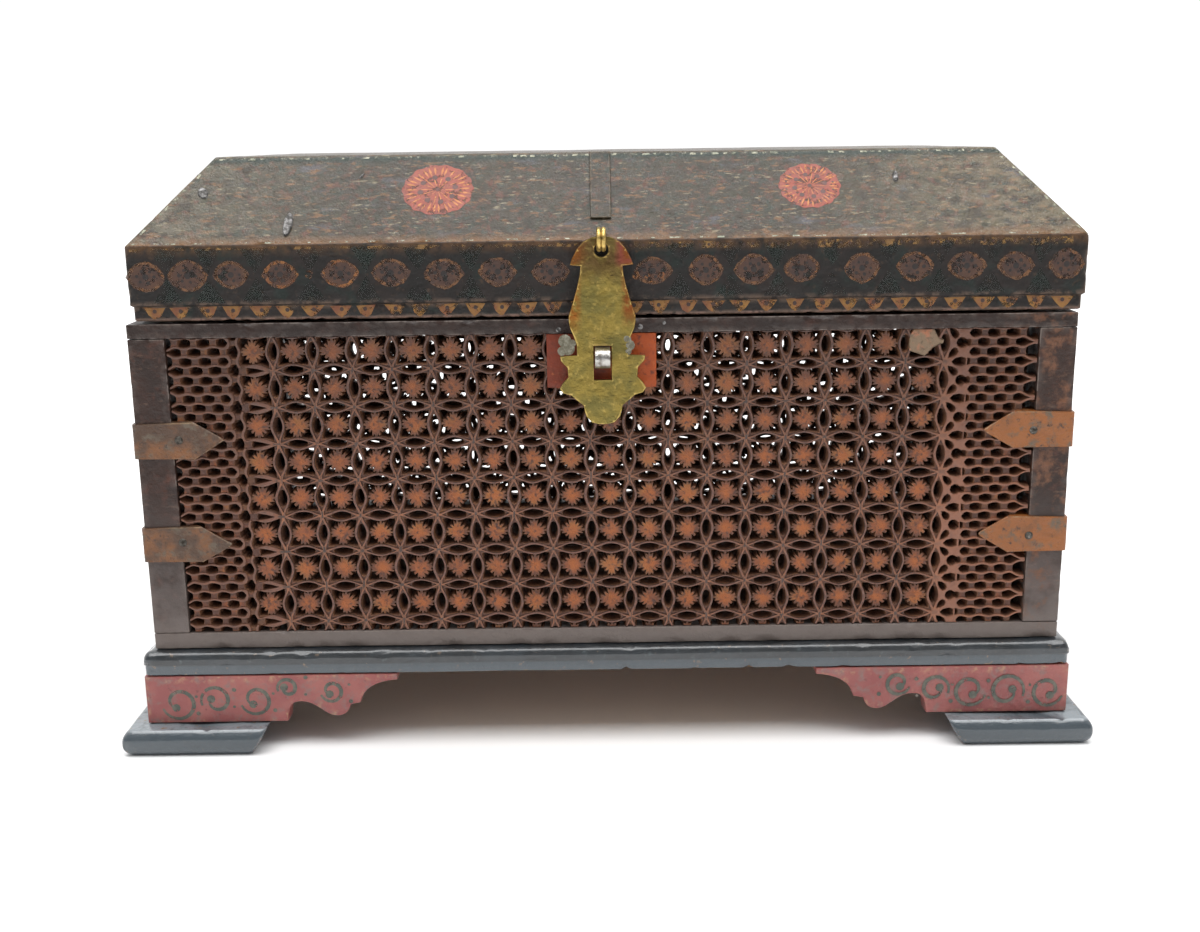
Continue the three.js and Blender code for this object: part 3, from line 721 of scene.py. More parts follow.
# Posts and rails. The rails are drawn up to what they sit on, as glued joints show no gap.
def makeFrame():
    lacquer = lacqueredFrame()
    for node in nodesFrom("corner_post", "top_rail", "bottom_rail"):
        low, high = nodeBox(node)
        if "rail" in node:
            low.z -= carcass["joint"]
        if "bottom_rail" in node:
            high.z += carcass["joint"]
        shape = board(low, high, carcass["round"], 3)
        makePiece(node + "_worn", "box", shape, [lacquer], [node], carcass["wear"])


plug = {
    "along": 136.2, "below": 0.5, "depth": 0.7, "rings": ((0.5, 0), (0.15, 0.15), (0, 0.5), (0, 1.6)),
    "outline": (
        (-6.8, -9), (-6.6, -2.5), (-5, 0.2), (3.6, 0.2), (5.4, -3.4), (8, -4.6), (7.6, -6), (3, -8),
        (0, -11.4),
    ),
}


# A brown filler plug in the front's fretwork, where a piece was once mended.
def makePlug():
    layers = [("#9c6246", 5, 0.5, 0.7), ("#5a4a38", 2, 0.5, 0.7)]
    filler = weathered("waxFiller", "#75604a", layers, (0.4, 0.5), [(2, 0.3)])
    left, top, front = plug["along"], openingTop - plug["below"], plug["depth"]
    place = lambda x, y, depth: onSide(sides["front"], left + x, top + y, front + depth)
    shape = plate(list(plug["outline"]), plug["rings"], place)
    makePiece("filler_plug", "box", shape, [filler])


# Lid

# The strap has half its width, where it starts up the slope, how far short of its end it stops, its height.
lid = {
    "low": span("lid_band_front", 2)[0], "high": span("lid_top_board", 2)[1], "run": 32, "rise": 35.5,
    "strip": 6.5, "stripBack": 1.2, "band": 12, "board": 8, "round": 1.3, "chamfer": 0.6, "hem": 0.5,
    "strap": (4.5, 11.2, 0.3, 1.05), "strapRings": ((0.35, 0), (0, 0.35), (0, 0.75)),
    "wear": {"wave": 0.3, "waveSize": 26, "chip": 0.7, "chipSize": 4, "bite": 0.25},
    "paintWear": {"wave": 0.3, "waveSize": 26},
}
lid["arris"] = lid["high"] - lid["rise"]
lid["bandHeight"] = lid["arris"] - lid["low"] - lid["strip"]
lid["slope"] = math.hypot(lid["run"], lid["rise"])
slopeIn, slopeUp = lid["run"] / lid["slope"], lid["rise"] / lid["slope"]
lidLow = [span("lid_band_left", 0)[0], span("lid_band_front", 1)[0]]
lidHigh = [span("lid_band_right", 0)[1], span("lid_band_back", 1)[1]]
lidHalf = (Vector(lidHigh) - Vector(lidLow)) / 2
lidCentre = (Vector(lidHigh) + Vector(lidLow)) / 2


def onLid(side, along, inset, height):
    reach = (lidHalf.y if side["long"] else lidHalf.x) - inset
    return lidCentre.to_3d() + side["spin"] @ Vector((along, -reach, height))


def onBand(side, along, rise, out):
    return onLid(side, along, -out, lid["low"] + lid["strip"] + rise)


def onStrip(side, along, rise, out):
    return onLid(side, along, lid["stripBack"] - out, lid["low"] + rise)


def onSlope(side, along, rise, out):
    height = lid["arris"] + slopeUp * rise + slopeIn * out
    return onLid(side, along, slopeIn * rise - slopeUp * out, height)


# The lid's section: inner faces, lower strip, band, slope and top.
def lidRuns():
    low, high, arris, back, inner = (lid[key] for key in ("low", "high", "arris", "board", "band"))
    foot = low + lid["strip"]
    start = (slopeUp * back, arris - slopeIn * back)
    bandTop = start[1] + (inner - start[0]) * slopeUp / slopeIn
    under = (inner + (high - back - bandTop) * slopeIn / slopeUp, high - back)
    r, lean = lid["round"], math.atan2(slopeUp, slopeIn)
    bend, bendTop = r * math.tan((math.pi / 2 - lean) / 2), r * math.tan(lean / 2)
    nose = arc((r, arris - bend), r, 180, 90 + math.degrees(lean), 3)
    crest = arc((lid["run"] + bendTop, high - r), r, 90 + math.degrees(lean), 90, 4)
    edge, cut, hem = lid["stripBack"], lid["chamfer"], lid["hem"]
    inside = [(under[0] + 3, under[1]), under, (inner, bandTop), (inner, low + cut), (inner - cut, low)]
    strip = [inside[-1], (edge + cut, low), (edge, low + cut), (edge, foot - hem), (hem, foot)]
    band = [strip[-1], (0, foot + hem)] + nose
    return [inside, strip, band, [nose[-1]] + crest, [crest[-1], (lid["run"] + 6, high)]]


# Olive-grey varnish of the slopes, wet in its gloss: rust and green in it, cream scratches along it, broad
# grey streaks of painted sheen, painted sheen with pale scuffs towards both ends, a dark green line at the
# top and warm orange-brown at the foot.
def crazedVarnish(name="crazedVarnish", edge="#74684f"):
    high = lid["high"]
    layers = [
        ("#3a3226", 12, 0.35, 0.68),
        ("#322f20", 6, 0.45, 0.68),
        ("#523326", 4, 0.5, 0.7),
        ("#2c3229", 3, 0.5, 0.7),
        # Broad grey streaks: painted sheen.
        ("#48464a", (20, 20, 5), 0.57, 0.74),
        ("#67492e", (6, 6, 1.6), 0.56, 0.68),
        ("#7a705a", (5, 5, 0.9), 0.59, 0.7),
        # Lighter towards both ends: painted sheen, with pale scuffs.
        ("#7d7058", (7, 7, 3), 0.35, 0.62, (0, 80, 185, 0.5)),
        ("#76705f", (7, 7, 3), 0.35, 0.62, (0, -110, -190, 0.45)),
        ("#6a4a2c", 5, 0.25, 0.6, (2, 226, 222.5)),
        ("#18261e", 7, 0.25, 0.5, (2, high - 4, high - 2), (2, high - 0.5, high - 1.3)),
        (edge, 4, 0.35, 0.6, "worn"),
    ]
    bumps = [(5, 0.3), (1.3, 0.16)]
    return weathered(name, "#2d251b", layers, (0.22, 0.42), bumps, Specular_IOR_Level=0.3)


# Soot-black painted band with green in it, brown and pinkish where its edges are rubbed.
def sootyPaint():
    layers = [
        ("#1e1613", 14, 0.35, 0.68),
        ("#131c18", 9, 0.5, 0.7),
        ("#38281c", 3, 0.58, 0.76),
        ("#4e3620", 5, 0.3, 0.65, (2, 217, 221)),
        ("#7c6257", 3, 0.3, 0.55, (2, 192.4, 191.4)),
        ("#544439", 4, 0.4, 0.6, "worn"),
    ]
    bumps = [(4, 0.25), (1.1, 0.08)]
    return weathered("sootyPaint", "#120f0d", layers, (0.35, 0.6), bumps, Specular_IOR_Level=0.35)


def makeLid(bareWood):
    varnish, soot = crazedVarnish(), sootyPaint()
    nodes = [f"lid_{kind}_{name}" for kind in ("band", "slope") for name in sides] + ["lid_top_board"]
    shape = sweptFrame(lidRuns(), lidHalf, lidCentre, 2)
    materials = [bareWood, soot, soot, varnish, varnish]
    makePiece("lid_shell", "lid", shape, materials, nodes, lid["wear"])
    half, start, short, top = lid["strap"]
    middle, end = -lidCentre.x, lid["slope"] - short
    place = lambda x, y, depth: onSlope(sides["front"], x, y, top - depth)
    shape = plate(rectangle(middle - half, start, middle + half, end), lid["strapRings"], place)
    nodes = ["lid_centre_strap"]
    overIron = crazedVarnish("varnishedIron", "#564b3b")
    makePiece("lid_strap_varnished", "lid", shape, [overIron], nodes, lid["paintWear"])


# Nails clinched over on the slope: place along and up it, width, length and lean.
clinched = {
    "nails": (
        (-133, 10.5, 4, 12.5, 0.35), (-170.6, 27.8, 4.5, 6, -0.7), (123, 32, 2.6, 6, 0.1),
        (-104, 36, 1.4, 2.8, 0.9),
    ),
    "rings": ((0.5, 0), (0.2, 0.25), (0, 0.7)), "top": 0.55,
}


def clinchNails(iron):
    place = lambda x, y, depth: onSlope(sides["front"], x, y, clinched["top"] - depth)
    shapes = []
    for x, rise, wide, tall, lean in clinched["nails"]:
        loop = [(x + b * wide / 2 + a * lean, rise + a * tall / 2) for a, b in inLoop(14, 1)]
        shapes.append(plate(loop[::-1], clinched["rings"], place, 1))
    makePiece("clinched_nails", "lid", joinShapes(shapes), [iron])


# Paint of the lid: two colours, how it has flaked (patch size, low, high, seed), where it lies, how thick.
lidPaint = {
    "cartouche": ("brownOchrePaint", "#35211a", "#4a2e1d", (3, 0.36, 0.5, 3), onBand, 0.06),
    "triangle": ("mossPaint", "#121d18", "#17261e", (8, 0.3, 0.8, 7), onBand, 0.05),
    "faint_ring": ("rubbedOchrePaint", "#6a4526", "#513620", (2.4, 0.36, 0.62, 5), onBand, 0.09),
    "bright_ring": ("orangeOchrePaint", "#825426", "#673a20", (2.2, 0.38, 0.6, 9), onBand, 0.09),
    "dot": ("lampBlackPaint", "#161110", "#241a16", (3, 0.25, 0.4, 3), onBand, 0.12),
    "arris_line": ("goldOchrePaint", "#80602f", "#5c3f24", (3, 0.45, 0.64, 6), onBand, 0.06),
    "arris_dot": ("brownDotPaint", "#30201a", "#42281d", (3, 0.25, 0.4, 2), onBand, 0.1),
    "tooth": ("yellowOchrePaint", "#845c24", "#6c3c22", (4, 0.3, 0.54, 9), onStrip, 0.06),
    "tooth_dot": ("umberDotPaint", "#2c1c16", "#3c241b", (3, 0.25, 0.4, 3), onStrip, 0.1),
    "dash": ("creamPaint", "#a7a48e", "#757a66", (2.6, 0.44, 0.6, 8), onSlope, 0.06),
    "rosette": ("vermilionPaint", "#88341c", "#722e1c", (2.4, 0.28, 0.5, 1), onSlope, 0.07),
    "ray": ("apricotPaint", "#b3702f", "#a25a2c", (1.8, 0.3, 0.5, 2), onSlope, 0.1),
    "seed": ("umberPaint", "#3f1b14", "#52241a", (2, 0.25, 0.4, 3), onSlope, 0.13),
}


# Cartouches, how much narrower and lower the inside of their ring is, dots and triangles.
cartouches = {
    "front": (
        -192, -174.5, -156.5, -136, -111, -90, -68, -45.5, -23.5, 19, 41, 61, 81, 106, 128, 149.5, 170, 191,
    ),
    "bright": (-136, -111), "pitch": 21.8, "size": (16, 12.6), "vary": (0.92, 1.06), "ring": (3.38, 2.6),
    "power": 1.55, "dots": (3.6, 2.6), "dotSize": (0.5, 0.9), "middleDot": 1.3, "triangle": 6, "clear": 1.5,
}
topLine = {
    "length": (5, 11), "gap": (0.3, 1.6), "left": 2, "right": 3.6, "top": 0.9, "dots": (3.6, 2.2, 0.6),
}


def pointedOval(x, y, width, height):
    points = []
    for k in range(28):
        c, s = math.cos(math.pi * k / 14), math.sin(math.pi * k / 14)
        points.append((x + width / 2 * c, y + height / 2 * math.copysign(abs(s) ** cartouches["power"], s)))
    return points


# Places and lengths of dashes set one after another, with chance gaps.
def dashRun(x, end, lengths, gaps):
    while x < end:
        length = dice.uniform(*lengths)
        yield x, length
        x += length + dice.uniform(*gaps)


# Cartouches along the band, with green triangles between them and a dotted ochre line on top.
def paintBand(name, half, layers):
    tall, pitch, clear = lid["bandHeight"], cartouches["pitch"], cartouches["clear"]
    (dotX, dotY), (ringX, ringY) = cartouches["dots"], cartouches["ring"]
    count = int(2 * (half - 4) / pitch)
    spots = [(k - (count - 1) / 2) * pitch for k in range(count)]
    if name == "front":
        spots = cartouches["front"]
    for k, x in enumerate(spots):
        width, height = (size * dice.uniform(*cartouches["vary"]) for size in cartouches["size"])
        y = tall / 2 + dice.uniform(-0.4, 0.4)
        outer = jitter(pointedOval(x, y, width, height), 0.3)
        inner = jitter(pointedOval(x, y, width - ringX, height - ringY), 0.3)
        bright = name == "front" and x in cartouches["bright"]
        layers["cartouche"].append([outer])
        layers["bright_ring" if bright else "faint_ring"].append([outer, inner])
        around = [(x + dotX * math.cos(t), y + dotY * math.sin(t)) for t in range(6)]
        layers["dot"].append([inLoop(7, dice.uniform(*cartouches["dotSize"]), place) for place in around])
        layers["dot"].append([inLoop(9, cartouches["middleDot"], (x, y))])
        if k:
            middle, wide = (spots[k - 1] + x) / 2, cartouches["triangle"]
            for start, tip in ((tall - clear, tall / 2 + 1), (clear, tall / 2 - 1)):
                triangle = [(middle - wide, start), (middle + wide, start), (middle, tip)]
                layers["triangle"].append([jitter(triangle, 0.4)])
    dotPitch, below, size = topLine["dots"]
    for x, length in dashRun(-half + 2, half - 8, topLine["length"], topLine["gap"]):
        low = tall - topLine["right" if x > 0 else "left"] + dice.uniform(-0.4, 0.4)
        layers["arris_line"].append([jitter(rectangle(x, low, x + length, tall - topLine["top"]), 0.3)])
        if x > 0:
            for k in range(int(length / dotPitch)):
                spot = (x + dotPitch / 2 + dotPitch * k, tall - below)
                layers["arris_dot"].append([inLoop(7, size, spot)])


teeth = {
    "pitch": 11.2, "drift": 0.5, "base": (4.1, 4.9), "top": 6, "knee": (2.2, 2.4), "tip": (0.4, 0.9),
    "dot": (0.9, 4.3),
}


# Teeth along the lower strip, points down, each with a dark dot.
def paintStrip(half, layers):
    pitch, drift, top = teeth["pitch"], teeth["drift"], teeth["top"]
    size, rise = teeth["dot"]
    count = int(2 * (half - 2) / pitch)
    for k in range(count):
        x = (k - (count - 1) / 2) * pitch + dice.uniform(-drift, drift)
        right = [(dice.uniform(*teeth["base"]), top), teeth["knee"], teeth["tip"]]
        left = [(-a, b) for a, b in right[::-1]]
        tooth = [(x + a, b) for a, b in left[-1:] + right + left[:-1]]
        layers["tooth"].append([jitter(tooth, 0.35)])
        layers["tooth_dot"].append([inLoop(8, size, (x + dice.uniform(-drift, drift), rise))])


# Dashes of the top arris and of the foot as (lengths, gaps), and of the hips.
dashes = {
    "top": ((1.6, 3.6), (1, 2.6)), "foot": ((2, 6), (1.5, 9)), "inset": 1.4,
    "hipPitch": 4.2, "hipStart": 2, "hipLean": (1.6, 3), "hipTall": 2.6, "hipWide": 1.1,
}


# Cream dashes along the top arris, the foot of the slope and up the hips.
def paintSlope(half, layers):
    figures, run, pitch, tall = layers["dash"], lid["run"], dashes["hipPitch"], dashes["hipTall"]
    top = lid["slope"] - dashes["inset"]
    for x, length in dashRun(-half + run + 2, half - run - 4, *dashes["top"]):
        figures.append([jitter(rectangle(x, top - 0.7, x + length, top + 0.3), 0.2)])
    for x, length in dashRun(-half + 3, half - 6, *dashes["foot"]):
        figures.append([jitter(rectangle(x, 0.9, x + length, 1.6), 0.15)])
    for k in range(int(top / pitch)):
        rise = dashes["hipStart"] + k * pitch
        for sign in (1, -1):
            ends = (rise, rise + dice.uniform(*dashes["hipLean"]))
            foot, head = (sign * (half - slopeIn * end - dashes["inset"]) for end in ends)
            edge, high = sign * dashes["hipWide"], rise + tall
            figures.append([[(foot, rise), (foot - edge, rise), (head - edge, high), (head, high)]])


# Painted suns as (place along, share of the slope, half width, half height, count of outer seeds), their
# rays as (count, start, end, half width), seeds as (count, place, size), and small rings.
rosettes = {
    "suns": ((-71.2, 0.59, 15, 13.4, 0), (86.2, 0.58, 13, 11.9, 14)), "scallops": (14, 0.025),
    "rays": ((30, 0.6, 0.98, 0.045), (14, 0.06, 0.66, 0.05)), "inner": (8, 0.5, 0.045),
    "outer": (0.78, 0.022),
    "rings": ((-124, 12.5, 1.7), (12, 10.2, 1.6), (17.5, 9, 2.1), (22.5, 10.4, 1.5)),
}


# A painted sun: a scalloped disc with rays at its rim, a ring of seeds and fine lines in the middle.
def paintRosette(x, share, wide, tall, seeds, layers):
    middle = lid["slope"] * share
    lobes, depth = rosettes["scallops"]
    at = lambda r, turn: (x + r * wide * math.cos(turn), middle + r * tall * math.sin(turn))
    disc = [at(1 + depth * math.cos(lobes * t), t) for t in evenTurns(84)]
    layers["rosette"].append([jitter(disc, 0.12)])
    for count, inner, outer, thin in rosettes["rays"]:
        for turn in evenTurns(count):
            turn += dice.uniform(-0.06, 0.06)
            start, end = inner * dice.uniform(0.9, 1.1), outer * dice.uniform(0.92, 1.03)
            half = (start + end) / 2
            ray = [at(start, turn), at(half, turn - thin), at(end, turn), at(half, turn + thin)]
            layers["ray"].append([ray])
    for count, r, size in (rosettes["inner"], (seeds, *rosettes["outer"])):
        for turn in evenTurns(count):
            layers["seed"].append([inLoop(8, size * (wide + tall), at(r, turn + 0.2))])
    layers["seed"].append([inLoop(9, 1, (x, middle))])


# Thin sheets of paint, each a set of loops on one side of the lid.
def paintLid():
    shapes = {kind: [] for kind in lidPaint}
    for name, side in sides.items():
        half = lidHalf.x if side["long"] else lidHalf.y
        layers = {kind: [] for kind in lidPaint}
        paintBand(name, half, layers)
        paintStrip(half, layers)
        paintSlope(half, layers)
        if name == "front":
            for sun in rosettes["suns"]:
                paintRosette(*sun, layers)
            for x, y, size in rosettes["rings"]:
                layers["bright_ring"].append([inLoop(9, size, (x, y)), inLoop(7, size * 0.4, (x, y))])
        for kind, figures in layers.items():
            *_, place, lift = lidPaint[kind]
            spot = lambda x, y: place(side, x, y, lift)
            shapes[kind] += [paintSheet(loops, spot, 4) for loops in figures]
    for kind, (name, first, second, keep, *_) in lidPaint.items():
        paint = weathered(name, first, [(second, 5, 0.35, 0.7)], (0.4, 0.5), [(1.2, 0.1)], keep)
        shape = joinShapes(shapes[kind])
        makePiece(kind + "_paint", "lid", shape, [paint], wear=lid["paintWear"])


# Plinth
plinth = {
    "footRound": (2.8, 2.6), "undercut": (7, 1.25), "footCorner": 2.2, "footSteps": 14,
    "tall": 22, "arch": 9.2, "lobe": 2.2, "tip": 3, "foot": 62.5, "long": (0, 112), "short": (10.3, 100),
    "bracketOut": 4.7, "bracketRings": ((0.6, 0), (0.18, 0.18), (0, 0.6), (0, 9.4), (0.6, 10)),
    "scrollEnd": 14, "paint": 0.07, "inside": 30, "corner": 2.5,
    "fillet": ((0.9, 0), (0.5, 0.4), (0.5, 4.2), (0, 5)), "nose": (5.2, 0.8, 1.4, 5.5),
    "wear": {"wave": 0.35, "waveSize": 18, "chip": 1.0, "chipSize": 6, "bite": 0.34},
    "bracketWear": {"wave": 0.25, "waveSize": 20, "chip": 0.8, "chipSize": 5, "bite": 0.3},
    "scrollWear": {"wave": 0.25, "waveSize": 20},
}


# Thick wet-looking blue-black lacquer, greyer low on the moulding, with a painted sheen and dust on the
# feet's tops, chipped to brown wood at the edges.
def blackLacquer():
    layers = [
        ("#1e262c", 16, 0.35, 0.7),
        ("#434b4e", 5, 0.58, 0.8),
        ("#3a444b", 9, 0.1, 0.4, (2, 39.6, 38.4)),
        # The feet's tops: painted sheen, with some dust.
        ("#7b8388", 5, 0.2, 0.5, (2, 10.6, 11.3), (2, 13, 12)),
        ("#76624e", 3, 0.62, 0.68, "worn"),
    ]
    bumps, coat = [(7, 0.3), (2.2, 0.16), (1, 0.05)], {"Coat_Weight": 1.0, "Coat_Roughness": 0.09}
    return weathered("blackLacquer", "#11161a", layers, (0.3, 0.5), bumps, **coat)


# Brick-red lacquer of the brackets, faded to a dusty grey-pink.
def brickLacquer():
    layers = [
        ("#9a5c56", 16, 0.35, 0.7),
        ("#80635f", 5, 0.48, 0.72),
        ("#6b3d3c", 3, 0.6, 0.78),
        ("#a88468", 3, 0.5, 0.7, "worn"),
    ]
    return weathered("brickLacquer", "#8a4b49", layers, (0.38, 0.55), [(2, 0.12)])


# Light bare wood of what faces inwards, which warms the shade under the casket.
def barePine():
    layers = [("#8a6a4a", (14, 3, 14), 0.3, 0.7), ("#6d5540", 8, 0.5, 0.75)]
    return weathered("barePine", "#b98c58", layers, (0.6, 0.75), [(2, 0.12)])


# A block foot with a bullnose in front, cut back below on its inner sides.
def footShape(node):
    low, high = nodeBox(node)
    rings, steps = [], plinth["footSteps"]
    (nose, noseCurve), (undercut, hollow) = plinth["footRound"], plinth["undercut"]
    for k in range(steps + 1):
        share = k / steps
        outer = nose * abs(2 * share - 1) ** noseCurve
        inner = undercut * (1 - share) ** hollow
        corners = [[], []]
        for axis in (0, 1):
            shrink = (inner, -outer) if low[axis] > 0 else (outer, -inner)
            corners[0].append(low[axis] + shrink[0])
            corners[1].append(high[axis] + shrink[1])
        ring = rectRing(*corners, plinth["footCorner"], (26, 26))
        rings.append([Vector((x, y, low.z + (high.z - low.z) * share)) for x, y in ring])
    return loft(rings)


# The moulding's outer face, glossy, and its plain inner and lower faces.
def mouldingRuns():
    (low, high), inside = span("moulding_front", 2), plinth["inside"]
    rise, drop, shoulder, flat = plinth["nose"]
    fillet = [(inset, low + height) for inset, height in plinth["fillet"]]
    nose = curveThrough((0, low + rise), [((0, high - drop), (shoulder, high), (flat, high))])
    return [fillet + nose + [(inside, high)], [(inside, high), (inside, low), fillet[0]]]


# Half a bracket from the corner: an arch, a lobe, a step and a long rising tip.
def bracketOutline(start, length):
    tall, foot, arch, lobe = (plinth[key] for key in ("tall", "foot", "arch", "lobe"))
    tipHeight = tall - plinth["tip"]
    step = 0.44 * tipHeight
    at = lambda share: foot + share * (length - foot)
    pieces = [
        ((foot, 0),),
        ((at(0.02), arch), (at(0.06), arch), (at(0.14), arch)),
        ((at(0.26), arch), (at(0.34), lobe), (at(0.44), lobe)),
        ((at(0.55), lobe), (at(0.57), step * 0.9)),
        ((at(0.66), step),),
        ((at(0.7), tipHeight * 0.95), (at(1), tipHeight)),
        ((length, tall),),
        ((start, tall),),
    ]
    return curveThrough((start, 0), pieces)


# Painted scrolls of a bracket, from its outer corner inwards: spirals (x, y, radius) with dots between.
scrolls = {
    "left": ((14.4, 9.4, 7.6), (31, 10.4, 6.6), (48.6, 10.4, 6.8), (63, 15.8, 4.4), (82.5, 14.2, 5)),
    "right": ((9, 9.8, 7), (27, 10, 7.6), (43.4, 10.6, 7.2), (59, 11.4, 6.2), (75.5, 14.4, 5.4)),
    "start": 200, "turn": 400, "width": 1.8, "tighten": 0.66, "power": 1.8, "eye": 1.9,
    "dots": ((8, 1, 8.4, 5), (7, 0.7, 8, -3)),
}


def scrollFigures(hand):
    figures = []
    for number, (x, y, radius) in enumerate(scrolls[hand]):
        sign = 1 if number % 2 else -1
        points, steps = [], 22
        for k in range(steps + 1):
            turn = math.radians(scrolls["start"] - sign * scrolls["turn"] * k / steps)
            r = radius * (1 - scrolls["tighten"] * (k / steps) ** scrolls["power"])
            points.append(Vector((x + r * math.cos(turn), y + r * math.sin(turn))))
        left, right = [], []
        for k, point in enumerate(points):
            ahead = (points[min(k + 1, steps)] - points[max(k - 1, 0)]).normalized()
            size = scrolls["width"] * (0.3 + 0.7 * math.sin(math.pi * (0.12 + 0.8 * k / steps))) / 2
            side = Vector((-ahead.y, ahead.x)) * size
            left.append(tuple(point + side))
            right.append(tuple(point - side))
        figures += [left + right[::-1], inLoop(9, scrolls["eye"], points[-1])]
        figures += [inLoop(n, size, (x + dx, y + sign * dy)) for n, size, dx, dy in scrolls["dots"]]
    return figures


def makeBrackets(bareWood):
    brick, wear = brickLacquer(), plinth["bracketWear"]
    bottom, out, lift = span("bracket_front_left", 2)[0], plinth["bracketOut"], -plinth["paint"]
    strokes = []
    for side in sides.values():
        start, length = plinth["long" if side["long"] else "short"]
        outer = side["along"] + out
        for hand, sign in (("left", -1), ("right", 1)):
            place = lambda x, y, depth=lift: onSide(side, sign * (outer - x), bottom + y, depth - out)
            cut = triangulate([bracketOutline(start, length)], bool, 4)
            shape = slab(*cut, plinth["bracketRings"], place)
            if sign > 0:
                shape = flipped(shape)
            node = f"bracket_{side['name']}_{hand}"
            materials = [brick, brick, bareWood]
            makePiece(node + "_lacquered", "box", shape, materials, [node], wear)
            for figure in scrollFigures(hand):
                xs = [x for x, _ in figure]
                if start < min(xs) and max(xs) < length - plinth["scrollEnd"]:
                    strokes.append(paintSheet([figure], place))
    layers = [("#6a6459", 4, 0.4, 0.7)]
    paint = weathered("greyGreenPaint", "#474d45", layers, (0.4, 0.5), keep=(1.8, 0.3, 0.46, 3))
    shape = joinShapes(strokes)
    makePiece("bracket_scroll_paint", "box", shape, [paint], wear=plinth["scrollWear"])


def makePlinth():
    black, pine, wear = blackLacquer(), barePine(), plinth["wear"]
    for node in nodesFrom("foot_"):
        makePiece(node + "_lacquered", "box", footShape(node), [black], [node], wear)
    half = Vector((span("moulding_right", 0)[1], span("moulding_back", 1)[1]))
    shape = sweptFrame(mouldingRuns(), half, Vector((0, 0)), 2.2, True, plinth["corner"])
    nodes = [f"moulding_{name}" for name in sides]
    makePiece("plinth_moulding", "box", shape, [black, pine], nodes, wear)
    makeBrackets(pine)


# Metalwork

# Old brown paint over iron straps: orange on the right, browner and dusty on the left.
def paintedIron():
    layers = [
        ("#754a28", 12, 0.42, 0.66),
        ("#8f5424", 9, 0.15, 0.5, (0, 60, 160, 0.85)),
        ("#5a4e40", 5, 0.5, 0.7),
        ("#38281f", 2.5, 0.56, 0.74),
        ("#9a8062", 3, 0.35, 0.6, "worn"),
    ]
    return weathered("paintedIron", "#4a3425", layers, (0.35, 0.5), [(4, 0.3), (1, 0.08)])


# Hand-cut olive brass with dark scratches, stained orange along its sides, copper-red on one wing.
def sheetBrass():
    layers = [
        ("#6c6336", 9, 0.38, 0.66),
        ("#a28c4c", 3, 0.52, 0.75),
        ("#4a4028", (5, 5, 0.9), 0.62, 0.74),
        ("#5f4a2c", 6, 0.3, 0.6, (2, 203, 214)),
        ("#6c4426", 4, 0.2, 0.5, (2, 212, 215), (0, -5, -9)),
        ("#84463a", 4, 0.1, 0.4, (2, 211, 214), (0, 5, 8)),
        ("#7d4822", 3, 0.3, 0.55, (2, 186, 194), (0, 7.5, 10)),
        ("#86511f", 3, 0.3, 0.55, (2, 184, 192), (0, -8, -11)),
        ("#c8ab66", 3, 0.3, 0.6, "worn"),
    ]
    return weathered("sheetBrass", "#867439", layers, (0.28, 0.48), [(6, 0.3), (1, 0.05)], Metallic=0.85)


# Filed bright iron of the staple, with rust in its hollows.
def brightIron():
    layers = [("#77716a", 3, 0.45, 0.7), ("#5b4333", 1.5, 0.6, 0.75)]
    return weathered("brightIron", "#b5b3ae", layers, (0.25, 0.4), [(1, 0.08)], Metallic=1.0)


# Dull grey solder run on round the staple's slot.
def leadSolder():
    layers = [("#8a8778", 2, 0.4, 0.7)]
    return weathered("leadSolder", "#625d4d", layers, (0.45, 0.6), [(1.2, 0.3)], Metallic=0.4)


# Rubbed silvery iron of the nails clinched on the lid, with black in its hollows.
def rubbedIron():
    layers = [("#3d3b39", 2.2, 0.38, 0.6)]
    return weathered("rubbedIron", "#858382", layers, (0.35, 0.5), [(1, 0.2)], Metallic=0.6)


# Dark grey iron of the old nails, dull with handling.
def greyIron():
    layers = [("#35302a", 1.6, 0.4, 0.65), ("#8e8a84", 2.5, 0.55, 0.75)]
    return weathered("greyIron", "#5b5751", layers, (0.35, 0.55), [(1, 0.15)], Metallic=0.8)


# Red-lead painted block behind the hasp: dark red-brown on its left, bright orange on its right.
def redLead():
    layers = [
        ("#9c4416", 7, 0.1, 0.5, (0, -2, 6)),
        ("#5f2a18", 3, 0.5, 0.7),
        ("#a65a30", 2.5, 0.6, 0.78),
    ]
    return weathered("redLeadPaint", "#702b14", layers, (0.4, 0.55), [(2, 0.15)], Specular_IOR_Level=0.35)


strap = {
    "bend": 1.6, "point": 13, "blunt": (1.2, 1.1), "rings": ((0.3, 0), (0, 0.3), (0, 0.75)),
    "nail": (1.9, 0.9), "nailAt": 17, "nailDepth": 0.15, "dents": (0.1, 9),
}


# Half the outline of a strap, from its bend: straight edges and a blunt point.
def strapEnd(width, length):
    half, waist, (back, wide) = width / 2, length - strap["point"], strap["blunt"]
    return [(waist, -half), (length - back, -wide), (length, 0), (length - back, wide), (waist, half)]


